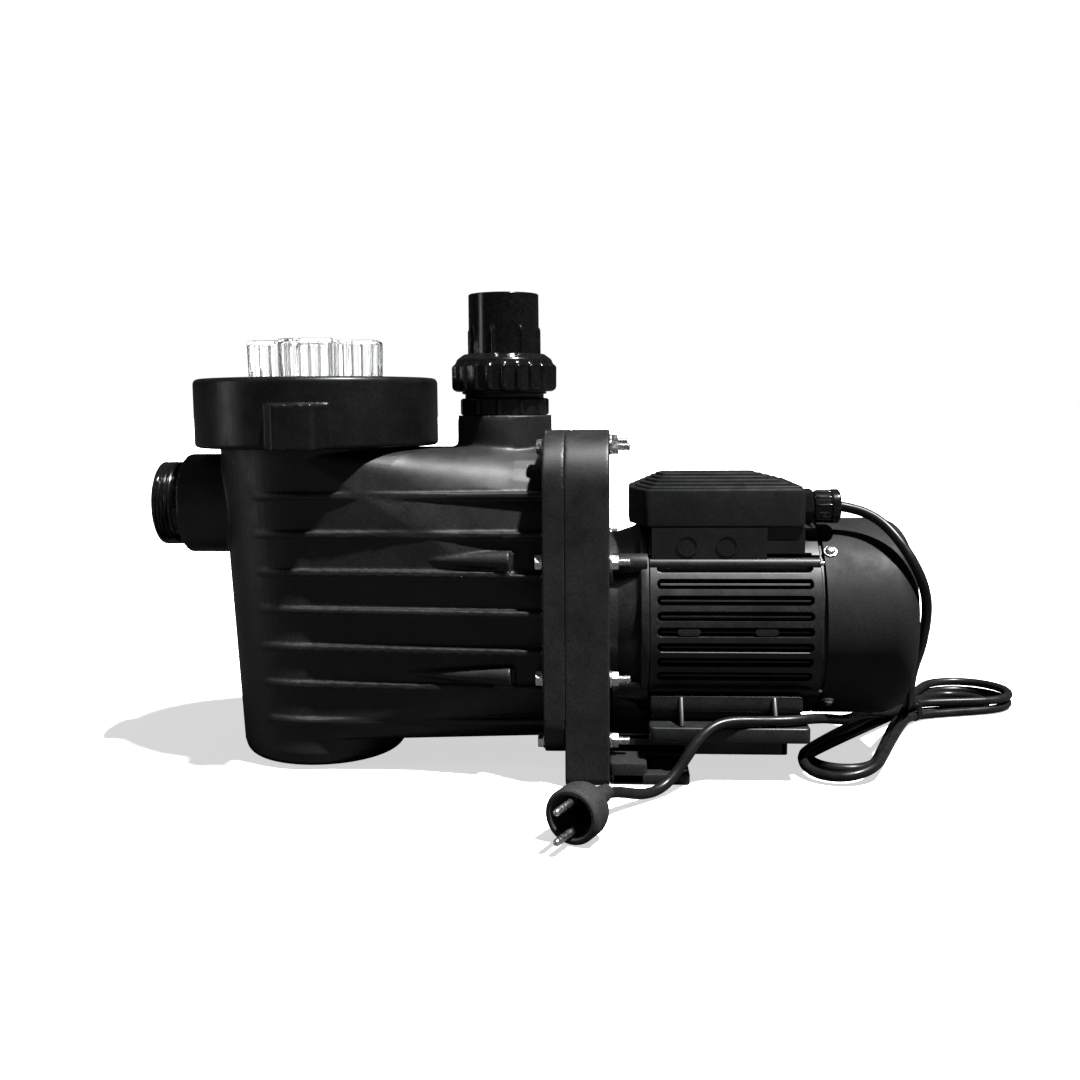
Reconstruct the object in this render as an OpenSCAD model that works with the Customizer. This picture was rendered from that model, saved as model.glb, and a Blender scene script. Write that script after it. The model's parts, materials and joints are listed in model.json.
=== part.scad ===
// Self-priming pool pump: strainer pot, pump casing with unions, and a foot-mounted electric motor.
// X runs along the pump axis from the suction thread to the fan cover, Z is up, the floor is Z = 0.

/* [Strainer pot] */
// Distance of the pot's axis from the middle of the pump
pot_offset = 165; // [162:1:168]
// Outer radius of the pot at its mouth
pot_r_top = 75; // [74:0.5:75.5]
// Outer radius of the pot at its floor
pot_r_bottom = 64; // [62:0.5:66]
// Thickness of the moulded walls
wall = 5; // [4:0.5:5.5]
// Outer radius of the lock ring
ring_r = 94; // [93:0.5:95]
// Height of the lock ring's lower edge above the floor
ring_z = 244; // [243.5:0.5:245]
// Height of the lock ring
ring_h = 52; // [50:1:53]
// How far the clear knob reaches from its centre
knob_reach = 52; // [48:1:54]
// Height of the knob above the lock ring
knob_h = 29; // [26:1:32]

/* [Pump casing] */
// Width of the bolted flanges
flange_w = 190; // [188:1:192]
// Height of the top of the flanges
flange_top = 254; // [252:0.5:255]
// Corner radius at the top of the flanges
flange_corner = 37; // [35:1:39]
// Thickness of the casing's flange
flange_t = 15.5; // [14:0.5:17]
// Thickness of the rear cover
cover_t = 32; // [31:0.5:33]
// Height of the casing's upper face beside the flange
casing_top = 243; // [242:0.5:243.5]
// Number of stiffening ribs on each side
rib_count = 7; // [5:1:7]
// Height of the lowest rib
rib_z = 39.5; // [39:0.1:40]
// Height from one rib to the next
rib_pitch = 28.35; // [28.2:0.05:28.4]
// Thickness of a rib
rib_t = 4.5; // [3:0.5:6]

/* [Connections] */
// Height of the suction connection
suction_z = 199; // [198:0.5:200]
// Crest radius of the union threads (G 2 1/4)
thread_r = 32.85; // [32.8:0.05:32.9]
// Distance of the discharge axis behind the middle of the pump
discharge_offset = 17.5; // [17:0.5:18]
// Inner radius of the discharge socket for 50 mm pipe
socket_r = 25.1; // [25.05:0.05:25.15]
// Outer radius of the discharge tail
tail_r = 27; // [26.8:0.1:27.4]
// Height of the discharge tail's open end
tail_top = 359; // [355:1:360]
// Number of grip ribs on the union nut
nut_ribs = 20; // [16:1:24]

/* [Motor] */
// Height of the shaft
axis_z = 110; // [109.5:0.5:111]
// Radius of the motor frame over its fins
frame_r = 76; // [75:0.5:76]
// Length of the motor frame
frame_l = 125; // [123:1:126]
// Distance from one thin cooling fin to the next
fin_pitch = 11.4; // [11:0.2:12]
// Height of the underside of the motor's feet
foot_z = 29.5; // [29.5:0.5:30]
// Width over the motor's feet
foot_w = 164; // [162:1:166]
// Radius of the motor shaft in its front bearing
shaft_r = 10; // [9.5:0.5:10]

/* [Supply cord] */
// Diameter of the supply cord
cord_d = 7.5; // [7:0.25:8]

/* [Hidden] */
$fn = 64;

moulded_black = "#1d1e1f";
gloss_black = "#141516";
rubber_black = "#101010";
motor_black = "#18191a";
zinc = "#c9ccce";
steel = "#8f9296";

// Clearance between pieces that move against each other
gap = 0.5;
pot_x = -pot_offset;
discharge_x = -discharge_offset;
// The two flanges and the motor follow each other along the axis
flange_x = 16.5;
cover_x = flange_x + flange_t;
cover_back = cover_x + cover_t;
frame_x = cover_back + 29;
frame_back = frame_x + frame_l;
cover_end = 290;

// Pot
pot_floor = 1.5;
pot_top = 240;
neck_r = 83.5;
neck_top = 266;
lid_z = neck_top + gap;
ring_bore = neck_r + gap;
ring_top = ring_z + ring_h;
knob_top = ring_top + knob_h;
lobe_w = 40;
lobe_corner = 8;
ring_edge = 4;
lug_reach = 21;
lug_w = 33;
lug_root_w = 52;
lug_h = 32;
lug_turn = 5;

// Casing
half_w = flange_w / 2;
underside = 20;
// Each rounding of the section beside the flange: how far out it is centred, its height and its radius
section_rounds = [[14, casing_top - 58, 58], [24, 128, 57], [24, 90, 55], [26, underside + 36, 36]];
// How far each rib reaches sideways at the flange, the lowest rib first
rib_reaches = [66, 80, 88, 89, 87, 81, 74];
// The ribs follow a circle round the pot, a little larger than it and set towards the flange
rib_wrap = 3.2;
rib_shift = 6;
bolt_places = [[60, 244], [87.5, 163], [87.5, 78], [66, 26.5]];
bolt_r = 3;
bolt_hole_r = 3.3;
swelling_y = 80;
swelling_r = 7.5;

// Hydraulics
diffuser_r = 60;
impeller_r = 53;

// Motor
core_r = 66;
rim_r = 74;
frame_bore = 61;
tie_y = 54;
tie_z = 47;
fan_r = 75.6;
fan_x = frame_back + 3;
fan_wall = 2.5;
fan_corner = 20;
// Place of the screws that hold the fan cover, and how far round from the top they stand
screw_x = frame_back + 7.5;
screw_turn = 42.5;
box_x = 90;
box_back = 207;
box_half = 57;
box_split = 184;
box_seat = 180;
box_screw_x = [frame_x + 11.5, frame_x + 98];
box_wall = 3;
lid_shoulder = 212;
gland_y = -36;
gland_z = 198;
gland_x = box_back;
bearing_r = 23.5;

// Discharge union: foot of the insert, its collar and thread, and the face where it seals
insert_z = 252.7;
collar_z = 14.1;
insert_thread = 12;
seat_z = insert_z + collar_z + 16 + insert_thread;

// Cord: route points of the lead from the gland to the tie, and of the tail from the tie to the plug
lead_route = [[222, -36, 198], [238, -36, 198], [251, -38, 195], [263, -45, 188], [273, -55, 176],
              [282, -63.5, 161], [290, -64.5, 145], [295, -57, 127], [298, -41, 107], [301, -20, 87],
              [303, 6, 66], [308, 34, 45], [314, 58, 26], [319, 80, 14], [320, 98, 9]];
tail_route = [[318, 96, 9], [306, 82, 9], [293, 64, 14], [279, 42, 20], [265, 16, 26], [251, -13, 30.5],
              [238, -37, 35.5], [225, -56, 42], [211, -70, 45.5], [196, -77, 45.5], [178, -78.5, 45.5],
              [160, -79, 45.5], [146, -82, 46.5], [133, -90, 41.5], [122, -97, 29], [113, -102, 16],
              [105, -108, 7], [97, -115, 4], [88, -124, 5], [78, -136, 10], [68, -149, 16], [61, -161, 18.7]];
// Hank: its two lobes and the waist where the tie holds it
hank_near = [234, -58];
hank_near_r = 32;
hank_waist = [320, 98];
hank_waist_r = 13;
hank_far = [388, 152];
hank_far_r = 42;
hank_h = 16;
// The plug lies at the end of the tail
plug_r = 18.5;
plug_place = [62, -158, 18.7];
plug_turn = 246;

// ---- Helpers ----

// Stands an outline drawn in Y and Z across the pump axis, t thick from x
module across(x, t) translate([x, 0, 0]) rotate([90, 0, 90]) linear_extrude(t) children();

// Turns a shape built along +Z so that it runs along +X from x at height z
module along_x(x, y = 0, z = axis_z) translate([x, y, z]) rotate([0, 90, 0]) children();

// A tube of length l
module tube(r_in, r_out, l) difference() {
  cylinder(r = r_out, h = l);
  translate([0, 0, -1]) cylinder(r = r_in, h = l + 2);
}

// Puts its children on both sides of the pump
module both_sides() for (side = [0, 1]) mirror([0, side, 0]) children();

// A hexagon prism w across its flats
module hexagon(w, h) cylinder(r = w / sqrt(3), h = h, $fn = 6);

// Outline with two large upper corners and two lower corners
module tombstone(half, low, high, r_high, r_low) {
  translate([-half, low + r_low]) square([2 * half, high - low - r_high - r_low]);
  translate([r_high - half, high - 2 * r_high]) square([2 * (half - r_high), 2 * r_high]);
  translate([r_low - half, low]) square([2 * (half - r_low), 2 * r_low]);
  for (side = [-1, 1]) {
    translate([side * (half - r_high), high - r_high]) circle(r_high);
    translate([side * (half - r_low), low + r_low]) circle(r_low);
  }
}

// Section of the casing beside its flange, narrow at the bottom, drawn in by inset
module casing_section(inset) hull() for (side = [-1, 1], round = section_rounds)
  translate([side * round[0], round[1]]) circle(round[2] - inset, $fn = 32);

// Radius of the pot's outside at height z
function pot_r(z) = pot_r_bottom + (pot_r_top - pot_r_bottom) * (z - pot_floor) / (pot_top - pot_floor);

// ---- Pot and casing ----

// The casing between the pot and the flange, drawn in by inset
module casing_shape(inset) hull() {
  translate([pot_x, 0, underside + 4 + inset])
    cylinder(r1 = pot_r(underside + 4) - inset - 1, r2 = pot_r(pot_top) - inset - 1,
             h = pot_top - underside - 4 - 2 * inset, $fn = 48);
  across(flange_x - 1, 1) casing_section(inset);
}

// The pot as a solid of revolution: rounded lower edge, and a collar that carries the lock ring
module pot_outside() translate([pot_x, 0, 0]) rotate_extrude() {
  difference() {
    polygon([[0, pot_floor], [pot_r_bottom, pot_floor], [pot_r_top, pot_top], [pot_r_top, 252],
             [neck_r, 252], [neck_r, neck_top], [0, neck_top]]);
    translate([pot_r_bottom - 11, pot_floor - 1]) square([12.5, 12]);
  }
  translate([pot_r_bottom - 11, pot_floor + 11]) circle(11);
}

// One rib level: a plate that wraps round the front of the pot and widens towards the flange
module rib_plate(z, reach) {
  r = pot_r(z) + rib_wrap;
  foot = r - 0.3;
  centre = pot_x + rib_shift;
  run = flange_x - centre;
  turn = atan2(reach, run) + acos(foot / norm([run, reach]));
  translate([0, 0, z - rib_t / 2]) linear_extrude(rib_t) {
    translate([centre, 0]) circle(r);
    polygon([[centre + foot * cos(turn), foot * sin(turn)], [flange_x + 1, reach],
             [flange_x + 1, -reach], [centre + foot * cos(turn), -foot * sin(turn)]]);
  }
}

// A tapering half-round swelling from the wall at -X out to a side bolt, with a web under it
module bolt_swelling(start_y, z) {
  translate([-96, start_y, z])
    rotate([0, 90, -atan2(start_y + swelling_y, 88)]) cylinder(r1 = 1, r2 = swelling_r, h = 90);
  translate([0, 0, z - 5]) linear_extrude(10)
    polygon([[-96, start_y], [-5, -swelling_y], [-5, -50], [-96, -50]]);
}

module bolt_swellings() both_sides() {
  bolt_swelling(-71.5, bolt_places[1][1]);
  bolt_swelling(-69.5, bolt_places[2][1]);
}

// Socket in the pot wall that holds the diffuser
module diffuser_socket() along_x(-105) cylinder(r = 34, h = 22);

module strainer_pot() color(moulded_black) difference() {
  union() {
    pot_outside();
    along_x(-268, 0, suction_z) cylinder(r = 39, h = 45);
    diffuser_socket();
    // Boss of the drain plug, on the far side of the pot
    translate([pot_x, 50, 24]) rotate([-90, 0, 0]) cylinder(r = 13, h = 20);
  }
  translate([pot_x, 0, pot_floor + wall])
    cylinder(r1 = pot_r_bottom - wall, r2 = pot_r_top - wall, h = pot_top - pot_floor);
  translate([pot_x, 0, pot_top]) cylinder(r = pot_r_top - wall, h = 40);
  along_x(-275, 0, suction_z) cylinder(r = 30, h = 60);
  along_x(-110) cylinder(r = 27.3, h = 40);
  translate([pot_x, 40, 24]) rotate([-90, 0, 0]) cylinder(r = 7, h = 40);
}

// The ribbed casing, moulded on to the pot
module pump_casing() color(moulded_black) difference() {
  union() {
    casing_shape(0);
    for (k = [0 : rib_count - 1])
      rib_plate(rib_z + k * rib_pitch, rib_reaches[k]);
    bolt_swellings();
    across(flange_x, flange_t) tombstone(half_w, 19, flange_top, flange_corner, 30);
    translate([discharge_x, 0, 228]) cylinder(r = 36.7, h = 38.7);
  }
  // The pot takes its place on the left
  translate([pot_x, 0, pot_floor]) cylinder(r1 = pot_r_bottom, r2 = pot_r_top, h = pot_top - pot_floor);
  translate([pot_x, 0, pot_top - 1]) cylinder(r = pot_r_top, h = neck_top - pot_top);
  diffuser_socket();
  // Pressure chamber, open at the flange
  casing_shape(wall + 1);
  across(flange_x - 4, flange_t + 5) casing_section(wall + 2);
  // Recess for the gasket
  across(cover_x - 1.5, 2) casing_section(-2);
  // Pockets for the heads of the side bolts
  both_sides() for (k = [1, 2])
    translate([-8, 79.5, bolt_places[k][1] - 9.5]) cube([8 + flange_x, 20, 19]);
  translate([discharge_x, 0, 220]) cylinder(r = 30, h = 60);
  both_sides() for (p = bolt_places) along_x(flange_x - 8, p[0], p[1]) cylinder(r = bolt_hole_r, h = 40);
}

// Threaded spigot of a union, built along +Z: a collar with ribs, and a plain crest cylinder for the thread
module threaded_insert(collar, thread_l) {
  difference() {
    union() {
      cylinder(r = 29.9, h = collar);
      translate([0, 0, collar]) cylinder(r = 33.2, h = 13);
      translate([0, 0, collar + 13]) cylinder(r = 30.5, h = 3);
      translate([0, 0, collar + 16]) cylinder(r = thread_r, h = thread_l);
      for (k = [0 : 11]) rotate(k * 30) translate([32, -1.5, collar]) cube([2.6, 3, 13]);
    }
    translate([0, 0, -1]) cylinder(r = 25, h = collar + thread_l + 20);
  }
}

// Stands the suction insert's pieces in their boss, built along +Z towards the open end
module in_suction() translate([-253, 0, suction_z]) rotate([0, -90, 0]) children();

module suction_insert() color(gloss_black) in_suction() difference() {
  union() {
    cylinder(r = 29.9, h = 15.4);
    translate([0, 0, 15.4]) cylinder(r = 31, h = 6.6);
    translate([0, 0, 22]) cylinder(r = thread_r, h = 15);
    for (k = [0 : 11]) rotate(k * 30) translate([30.5, -1, 15.4]) cube([2, 2, 6.6]);
  }
  translate([0, 0, -1]) cylinder(r = 25.5, h = 40);
  translate([0, 0, 2]) tube(27.5, 31, 3.2);
}

module suction_seal() color(rubber_black) in_suction() translate([0, 0, 2.1]) tube(27.6, 29.95, 3);

module discharge_insert() color(gloss_black) translate([discharge_x, 0, insert_z]) difference() {
  threaded_insert(collar_z, insert_thread);
  translate([0, 0, 2]) tube(27.6, 31, 3);
}

module discharge_seal() color(rubber_black)
  translate([discharge_x, 0, insert_z + 2.2]) tube(27.7, 29.95, 2.6);

module union_gasket() color(rubber_black) translate([discharge_x, 0, seat_z]) tube(26, 30.4, 2);

module union_tail() color(gloss_black) translate([discharge_x, 0, seat_z + 2 + gap]) difference() {
  union() {
    cylinder(r = 32, h = 5);
    cylinder(r = tail_r, h = tail_top - seat_z - 2 - gap);
    for (k = [0 : 7]) rotate(k * 45 + 10) translate([tail_r - 1, -1.5, 5]) cube([3.4, 3, 32]);
  }
  translate([0, 0, -1]) cylinder(r = 22.5, h = 90);
  translate([0, 0, tail_top - seat_z - 2 - gap - 31]) cylinder(r = socket_r, h = 40);
}

// The nut holds the tail's collar down and screws on the insert's thread
module union_nut() color(gloss_black) translate([discharge_x, 0, 285]) difference() {
  union() {
    rotate_extrude() {
      translate([0, 1.5]) square([38.6, 19.5]);
      square([37, 2]);
      difference() {
        translate([0, 20]) square([38.6, 8.5]);
        translate([30.6, 20]) square([9, 9]);
      }
      intersection() {
        translate([30.6, 20.5]) circle(8);
        translate([0, 20]) square([39, 8.6]);
      }
    }
    for (k = [0 : nut_ribs - 1]) rotate(k * 360 / nut_ribs)
      translate([38.4, 0, 2]) cylinder(r = 2.1, h = 16);
  }
  translate([0, 0, -1]) cylinder(r = thread_r + gap, h = 19);
  translate([0, 0, 10]) cylinder(r = thread_r + gap, h = 9.5);
  translate([0, 0, 10]) cylinder(r = tail_r + 3, h = 30);
}

// Basket with a rim, slotted wall and a floor with holes
module strainer_basket() color("#dfe3e4") translate([pot_x, 0, 0]) difference() {
  union() {
    translate([0, 0, 22]) cylinder(r1 = 55, r2 = 66, h = 212);
    translate([0, 0, 230]) cylinder(r = 68.8, h = 4);
  }
  translate([0, 0, 25]) cylinder(r1 = 52, r2 = 63, h = 212);
  // Wall slots, cut in three rows
  for (row = [0 : 2], k = [0 : 9])
    translate([0, 0, 38 + row * 63]) rotate(k * 18) translate([-80, -4, 0]) cube([160, 8, 52]);
  // Floor holes
  for (ring = [1 : 3], k = [0 : 6 * ring - 1])
    rotate(k * 60 / ring) translate([ring * 14, 0, 20]) cylinder(r = 3.5, h = 8);
  // Way in for the water
  translate([-80, 0, suction_z]) rotate([0, 90, 0]) cylinder(r = 24, h = 50);
}

// Handle pressed into the basket's rim, across it and up
module basket_handle() color("#dfe3e4") translate([pot_x, -4, 0]) {
  translate([-64, 0, 230]) cube([128, 8, 4]);
  for (side = [-1, 1]) translate([side * 22 - 3, 0, 232]) cube([6, 8, 20]);
  translate([-25, 0, 250]) cube([50, 8, 5]);
}

// Clear lid: a flanged dome with a four-lobed hollow knob
module strainer_lid() color("#e6eef0", 0.55) translate([pot_x, 0, 0]) difference() {
  union() {
    translate([0, 0, lid_z]) cylinder(r = 82, h = 11);
    translate([0, 0, lid_z]) cylinder(r = 69, h = ring_top - lid_z + 1);
    knob(0, ring_top, knob_top);
  }
  translate([0, 0, lid_z - 1]) cylinder(r = 64, h = ring_top - lid_z - 2.5);
  knob(3, ring_top - 5, knob_top - 3);
  // Groove of the seal
  translate([0, 0, lid_z - 0.5]) tube(76, 81, 2.8);
}

// Knob outline raised from one height to another: a hub and four broad lobes with rounded corners
module knob(inset, low, high) translate([0, 0, low]) {
  cylinder(r = 31 - inset, h = high - low);
  for (k = [0 : 3]) rotate(k * 90) {
    for (side = [-1, 1]) translate([knob_reach - lobe_corner, side * (lobe_w / 2 - lobe_corner), 0])
      cylinder(r = lobe_corner - inset, h = high - low);
    translate([0, inset - lobe_w / 2, 0]) cube([knob_reach - lobe_corner, lobe_w - 2 * inset, high - low]);
    translate([0, lobe_corner - lobe_w / 2, 0])
      cube([knob_reach - inset, lobe_w - 2 * lobe_corner, high - low]);
  }
}

module lid_seal() color(rubber_black) translate([pot_x, 0, lid_z]) tube(76.2, 80.8, 2.2);

module lock_ring() color(moulded_black) translate([pot_x, 0, 0]) difference() {
  union() {
    rotate_extrude() {
      translate([0, ring_z + 3]) square([ring_r, ring_h - 3 - ring_edge]);
      translate([0, ring_z]) square([ring_r - 3, 6]);
      translate([ring_r - 3, ring_z + 3]) circle(3);
      translate([0, ring_top - ring_edge - 1]) square([ring_r - ring_edge, ring_edge + 1]);
      translate([ring_r - ring_edge, ring_top - ring_edge]) circle(ring_edge);
    }
    // Two lugs to turn the ring by, flared where they meet it and rounded outside
    for (turn = [-90, 90]) rotate(turn + lug_turn) translate([0, 0, ring_z]) linear_extrude(lug_h) {
      polygon([[ring_r - 8, -lug_root_w / 2], [ring_r + 8, -lug_w / 2], [ring_r + lug_reach - 5, -lug_w / 2],
               [ring_r + lug_reach, 5 - lug_w / 2], [ring_r + lug_reach, lug_w / 2 - 5],
               [ring_r + lug_reach - 5, lug_w / 2], [ring_r + 8, lug_w / 2], [ring_r - 8, lug_root_w / 2]]);
      for (side = [-1, 1]) translate([ring_r + lug_reach - 5, side * (lug_w / 2 - 5)]) circle(5);
    }
  }
  translate([0, 0, ring_z - 1]) cylinder(r = ring_bore, h = lid_z + 11.5 + 1 - ring_z);
  translate([0, 0, ring_z]) cylinder(r = 70, h = ring_h + 5);
}

module drain_plug() color(gloss_black) translate([pot_x, 0, 24]) rotate([-90, 0, 0]) {
  translate([0, 0, 56]) cylinder(r = 6.8, h = 18);
  translate([0, 0, 72]) cylinder(r = 11, h = 4);
  translate([0, 0, 75]) hexagon(14, 7);
}

module drain_seal() color(rubber_black)
  translate([pot_x, 0, 24]) rotate([-90, 0, 0]) translate([0, 0, 70]) tube(7, 9.5, 2);

module casing_gasket() color(rubber_black) across(cover_x - 1.5, 1.5) difference() {
  casing_section(-1.5);
  casing_section(wall + 2);
}

// ---- Hydraulics ----

module diffuser() color("#2b2d2f") along_x(0) difference() {
  union() {
    translate([0, 0, -104]) cylinder(r = 27, h = 86);
    translate([0, 0, -22]) cylinder(r = diffuser_r, h = 50);
  }
  translate([0, 0, -110]) cylinder(r = 22.5, h = 150);
  translate([0, 0, -17]) cylinder(r = diffuser_r - 3.5, h = 60);
  translate([0, 0, -99]) tube(25.2, 30, 3.2);
  // Windows that let the water out into the chamber
  for (k = [0 : 7]) rotate(k * 45) translate([50, -9, -6]) cube([20, 18, 24]);
}

module diffuser_seal() color(rubber_black) along_x(-98.9) tube(25.4, 27.25, 3);

// Closed impeller with six swept vanes
module impeller() color("#33363a") along_x(0) {
  difference() {
    union() {
      translate([0, 0, 17]) cylinder(r = impeller_r, h = 3);
      translate([0, 0, 4]) cylinder(r = 14, h = 18);
    }
    translate([0, 0, 2]) cylinder(r = 7.5, h = 22);
  }
  difference() {
    union() {
      translate([0, 0, 2]) cylinder(r = impeller_r, h = 3);
      translate([0, 0, -14]) cylinder(r = 21.7, h = 17);
    }
    translate([0, 0, -15]) cylinder(r = 18.5, h = 22);
  }
  translate([0, 0, 4.5]) linear_extrude(13) intersection() {
    difference() {
      circle(impeller_r);
      circle(13.5);
    }
    for (k = [0 : 5]) rotate(k * 60) translate([28, 14]) difference() {
      circle(33);
      circle(30);
      translate([-60, -60]) square([60, 120]);
    }
  }
}

module impeller_nut() color(steel) along_x(-6) {
  difference() {
    hexagon(13, 10);
    translate([0, 0, 2]) cylinder(r = 4.9, h = 10);
  }
}

module seal_seat() color("#d8d4cc") along_x(cover_x + 1) tube(9.5, 17, 7);

module seal_head() color(steel) along_x(22) {
  tube(7.5, 13, cover_x - 21.5 - gap);
  translate([0, 0, 1]) tube(7.5, 14.5, 3);
}

// ---- Rear cover and base ----

module rear_cover() color(moulded_black) difference() {
  across(cover_x, cover_t) tombstone(half_w, 0, flange_top, flange_corner, 6);
  along_x(cover_x - 1) cylinder(r = 17, h = 9);
  along_x(cover_x) cylinder(r = 11, h = 20);
  // Recess for the motor, and the hollow of the foot
  along_x(cover_x + 14) cylinder(r = 66, h = cover_t);
  translate([cover_x + 10, -48, 5]) cube([cover_t, 96, 32]);
  both_sides() for (p = bolt_places) along_x(cover_x - 1, p[0], p[1]) cylinder(r = bolt_hole_r, h = cover_t + 2);
}

module casing_bolts() color(zinc) both_sides() for (p = bolt_places) along_x(0, p[0], p[1]) {
  translate([0, 0, flange_x - 1.6 - 4]) hexagon(10, 4);
  translate([0, 0, flange_x - 2]) cylinder(r = bolt_r, h = cover_back + 17 - flange_x);
}

module casing_washers() color(zinc) both_sides() for (p = bolt_places) along_x(0, p[0], p[1]) {
  translate([0, 0, flange_x - 1.6]) tube(bolt_r, 6, 1.6);
  translate([0, 0, cover_back]) tube(bolt_r, 6, 1.6);
}

module casing_nuts() color(zinc) both_sides() for (p = bolt_places)
  along_x(cover_back + 1.6, p[0], p[1]) difference() {
    hexagon(10, 5);
    translate([0, 0, -1]) cylinder(r = bolt_r, h = 8);
  }

module motor_base() color(moulded_black) difference() {
  union() {
    // Foot plate with its raised block, then the beam under the motor's feet
    translate([cover_back, -88, 0]) cube([58, 176, 8]);
    translate([cover_back, -58, 12]) cube([58, 116, 10]);
    translate([cover_back, -88, 0]) cube([26, 176, 16]);
    translate([cover_back, -58, 7]) cube([58, 116, 2]);
    translate([cover_back, -58, 14]) cube([132, 116, foot_z - 14]);
    both_sides() along_x(cover_back, 50, 22) cylinder(r = 7, h = 60);
  }
  // Slot under the block, hollow of the beam and the two mounting holes
  translate([cover_back + 28, -95, 8]) cube([34, 190, 4]);
  translate([cover_back + 8, -52, 9]) cube([118, 104, foot_z - 14]);
  both_sides() translate([cover_back + 42, 75, -1]) cylinder(r = 4.5, h = 12);
}

// ---- Motor ----

module front_endshield() color(motor_black) difference() {
  along_x(0) {
    translate([0, 0, cover_x + 16]) cylinder(r = 65.5, h = frame_x - cover_x - 16);
    translate([0, 0, frame_x - 6]) cylinder(r = rim_r + 2, h = 6);
    translate([0, 0, frame_x - 1]) cylinder(r = frame_bore - 0.1, h = 4);
  }
  along_x(cover_x + 15) cylinder(r = shaft_r + 0.6, h = 60);
  along_x(cover_x + 20) cylinder(r = bearing_r, h = 60);
  // Hollow around the bearing seat
  along_x(cover_x + 26) difference() {
    cylinder(r = 57, h = 60);
    cylinder(r = bearing_r + 5, h = 20);
  }
  both_sides() for (side = [-1, 1])
    along_x(frame_x - 20, tie_y, axis_z + side * tie_z) cylinder(r = 2.6, h = 40);
}

// Bars of one thickness across the whole frame, both ways, a pitch apart
module fin_bars(places, thick) for (k = places) {
  translate([k * fin_pitch - thick / 2, -frame_r - 1]) square([thick, 2 * frame_r + 2]);
  translate([-frame_r - 1, k * fin_pitch - thick / 2]) square([2 * frame_r + 2, thick]);
}

// Fins of the frame as a flat outline, thin and broad ones in turn: level at the sides, upright above
// and below. The fins above end level, under the terminal box
module fin_outline() {
  circle(core_r);
  intersection() {
    circle(frame_r);
    translate([-frame_r, -frame_r]) square([2 * frame_r, frame_r + box_seat - axis_z]);
    union() {
      fin_bars([-4 : 4], 1.8);
      fin_bars([-3.5 : 3.5], 4.6);
    }
  }
  // Channels of the tie rods
  for (side = [-1, 1], up = [-1, 1]) translate([side * tie_y, up * tie_z]) circle(4.6);
}

module motor_frame() color(motor_black) difference() {
  union() {
    translate([0, 0, axis_z]) across(frame_x, frame_l) fin_outline();
    along_x(frame_x) cylinder(r = rim_r, h = 5);
    along_x(frame_back - 6) cylinder(r = rim_r, h = 6);
    // Feet: a plate, a block under the frame and gussets between them
    translate([frame_x, -foot_w / 2, foot_z]) cube([116, foot_w, 11.5]);
    translate([frame_x + 0.5, -66, foot_z + 11]) cube([112, 132, 20]);
    both_sides() for (x = [frame_x + 22, frame_x + 90]) translate([x, 0, 0]) rotate([90, 0, 90])
      linear_extrude(3) polygon([[65, foot_z + 11], [73.5, foot_z + 11], [67, foot_z + 29], [65, foot_z + 30]]);
  }
  along_x(frame_x - 5) cylinder(r = frame_bore, h = frame_l + 20);
  both_sides() for (side = [-1, 1])
    along_x(frame_x - 5, tie_y, axis_z + side * tie_z) cylinder(r = 2.6, h = frame_l + 20);
}

module stator_core() color(steel) along_x(frame_x + 27) difference() {
  cylinder(r = frame_bore - 0.05, h = 70);
  translate([0, 0, -1]) cylinder(r = 35, h = 72);
  for (k = [0 : 23]) rotate(k * 15) translate([34, -1.6, -1]) cube([16, 3.2, 72]);
}

// Copper end turns and the slot sides that join them
module stator_windings() color("#a5562a") along_x(frame_x + 27) {
  for (z = [-15, 70.2]) translate([0, 0, z]) tube(38, 54, 14.8);
  for (k = [0 : 23]) rotate(k * 15) translate([38.5, -1.4, -1]) cube([11, 2.8, 72]);
}

module rear_endshield() color(motor_black) difference() {
  along_x(0) {
    translate([0, 0, frame_back - 4]) cylinder(r = frame_bore - 0.1, h = 5);
    translate([0, 0, frame_back]) cylinder(r = 72.8, h = 18);
  }
  along_x(frame_back - 8) cylinder(r = 20, h = 20);
  along_x(frame_back - 5) cylinder(r = 9.2, h = 40);
  along_x(frame_back + 5) difference() {
    cylinder(r = 66, h = 40);
    cylinder(r = 24, h = 9);
  }
  along_x(frame_back - 5) difference() {
    cylinder(r = 56, h = 7);
    cylinder(r = 24, h = 7);
  }
  both_sides() for (side = [-1, 1]) {
    along_x(frame_back - 5, tie_y, axis_z + side * tie_z) cylinder(r = 2.6, h = 30);
    for (half = [0, 180]) along_x(screw_x) rotate(half + side * screw_turn) rotate([0, 90, 0])
      cylinder(r = 2, h = 90);
  }
}

front_bearing_x = cover_x + 20.1;
rear_bearing_x = frame_back;

module bearing_outer_rings() color(steel) {
  along_x(front_bearing_x) tube(20.2, bearing_r, 14);
  along_x(rear_bearing_x) tube(17, 20, 12);
}

module bearing_inner_rings() color(steel) {
  along_x(front_bearing_x) tube(shaft_r, 13.4, 14);
  along_x(rear_bearing_x) tube(8.5, 11.3, 12);
}

module bearing_balls() color(zinc) for (k = [0 : 8]) {
  along_x(front_bearing_x + 7) rotate(k * 40) translate([16.7, 0, 0]) sphere(r = 3.3);
  along_x(rear_bearing_x + 6) rotate(k * 40) translate([14.05, 0, 0]) sphere(r = 2.75);
}

module motor_shaft() color(steel) along_x(0) {
  translate([0, 0, -4]) cylinder(r = 4.9, h = 10);
  translate([0, 0, 5]) cylinder(r = 7.5, h = cover_x + 12);
  translate([0, 0, cover_x + 16]) cylinder(r = shaft_r, h = frame_x + 10 - cover_x - 16);
  translate([0, 0, frame_x + 9]) cylinder(r = 14, h = frame_l - 20);
  translate([0, 0, frame_back - 12]) cylinder(r = 8.5, h = 46);
}

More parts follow.
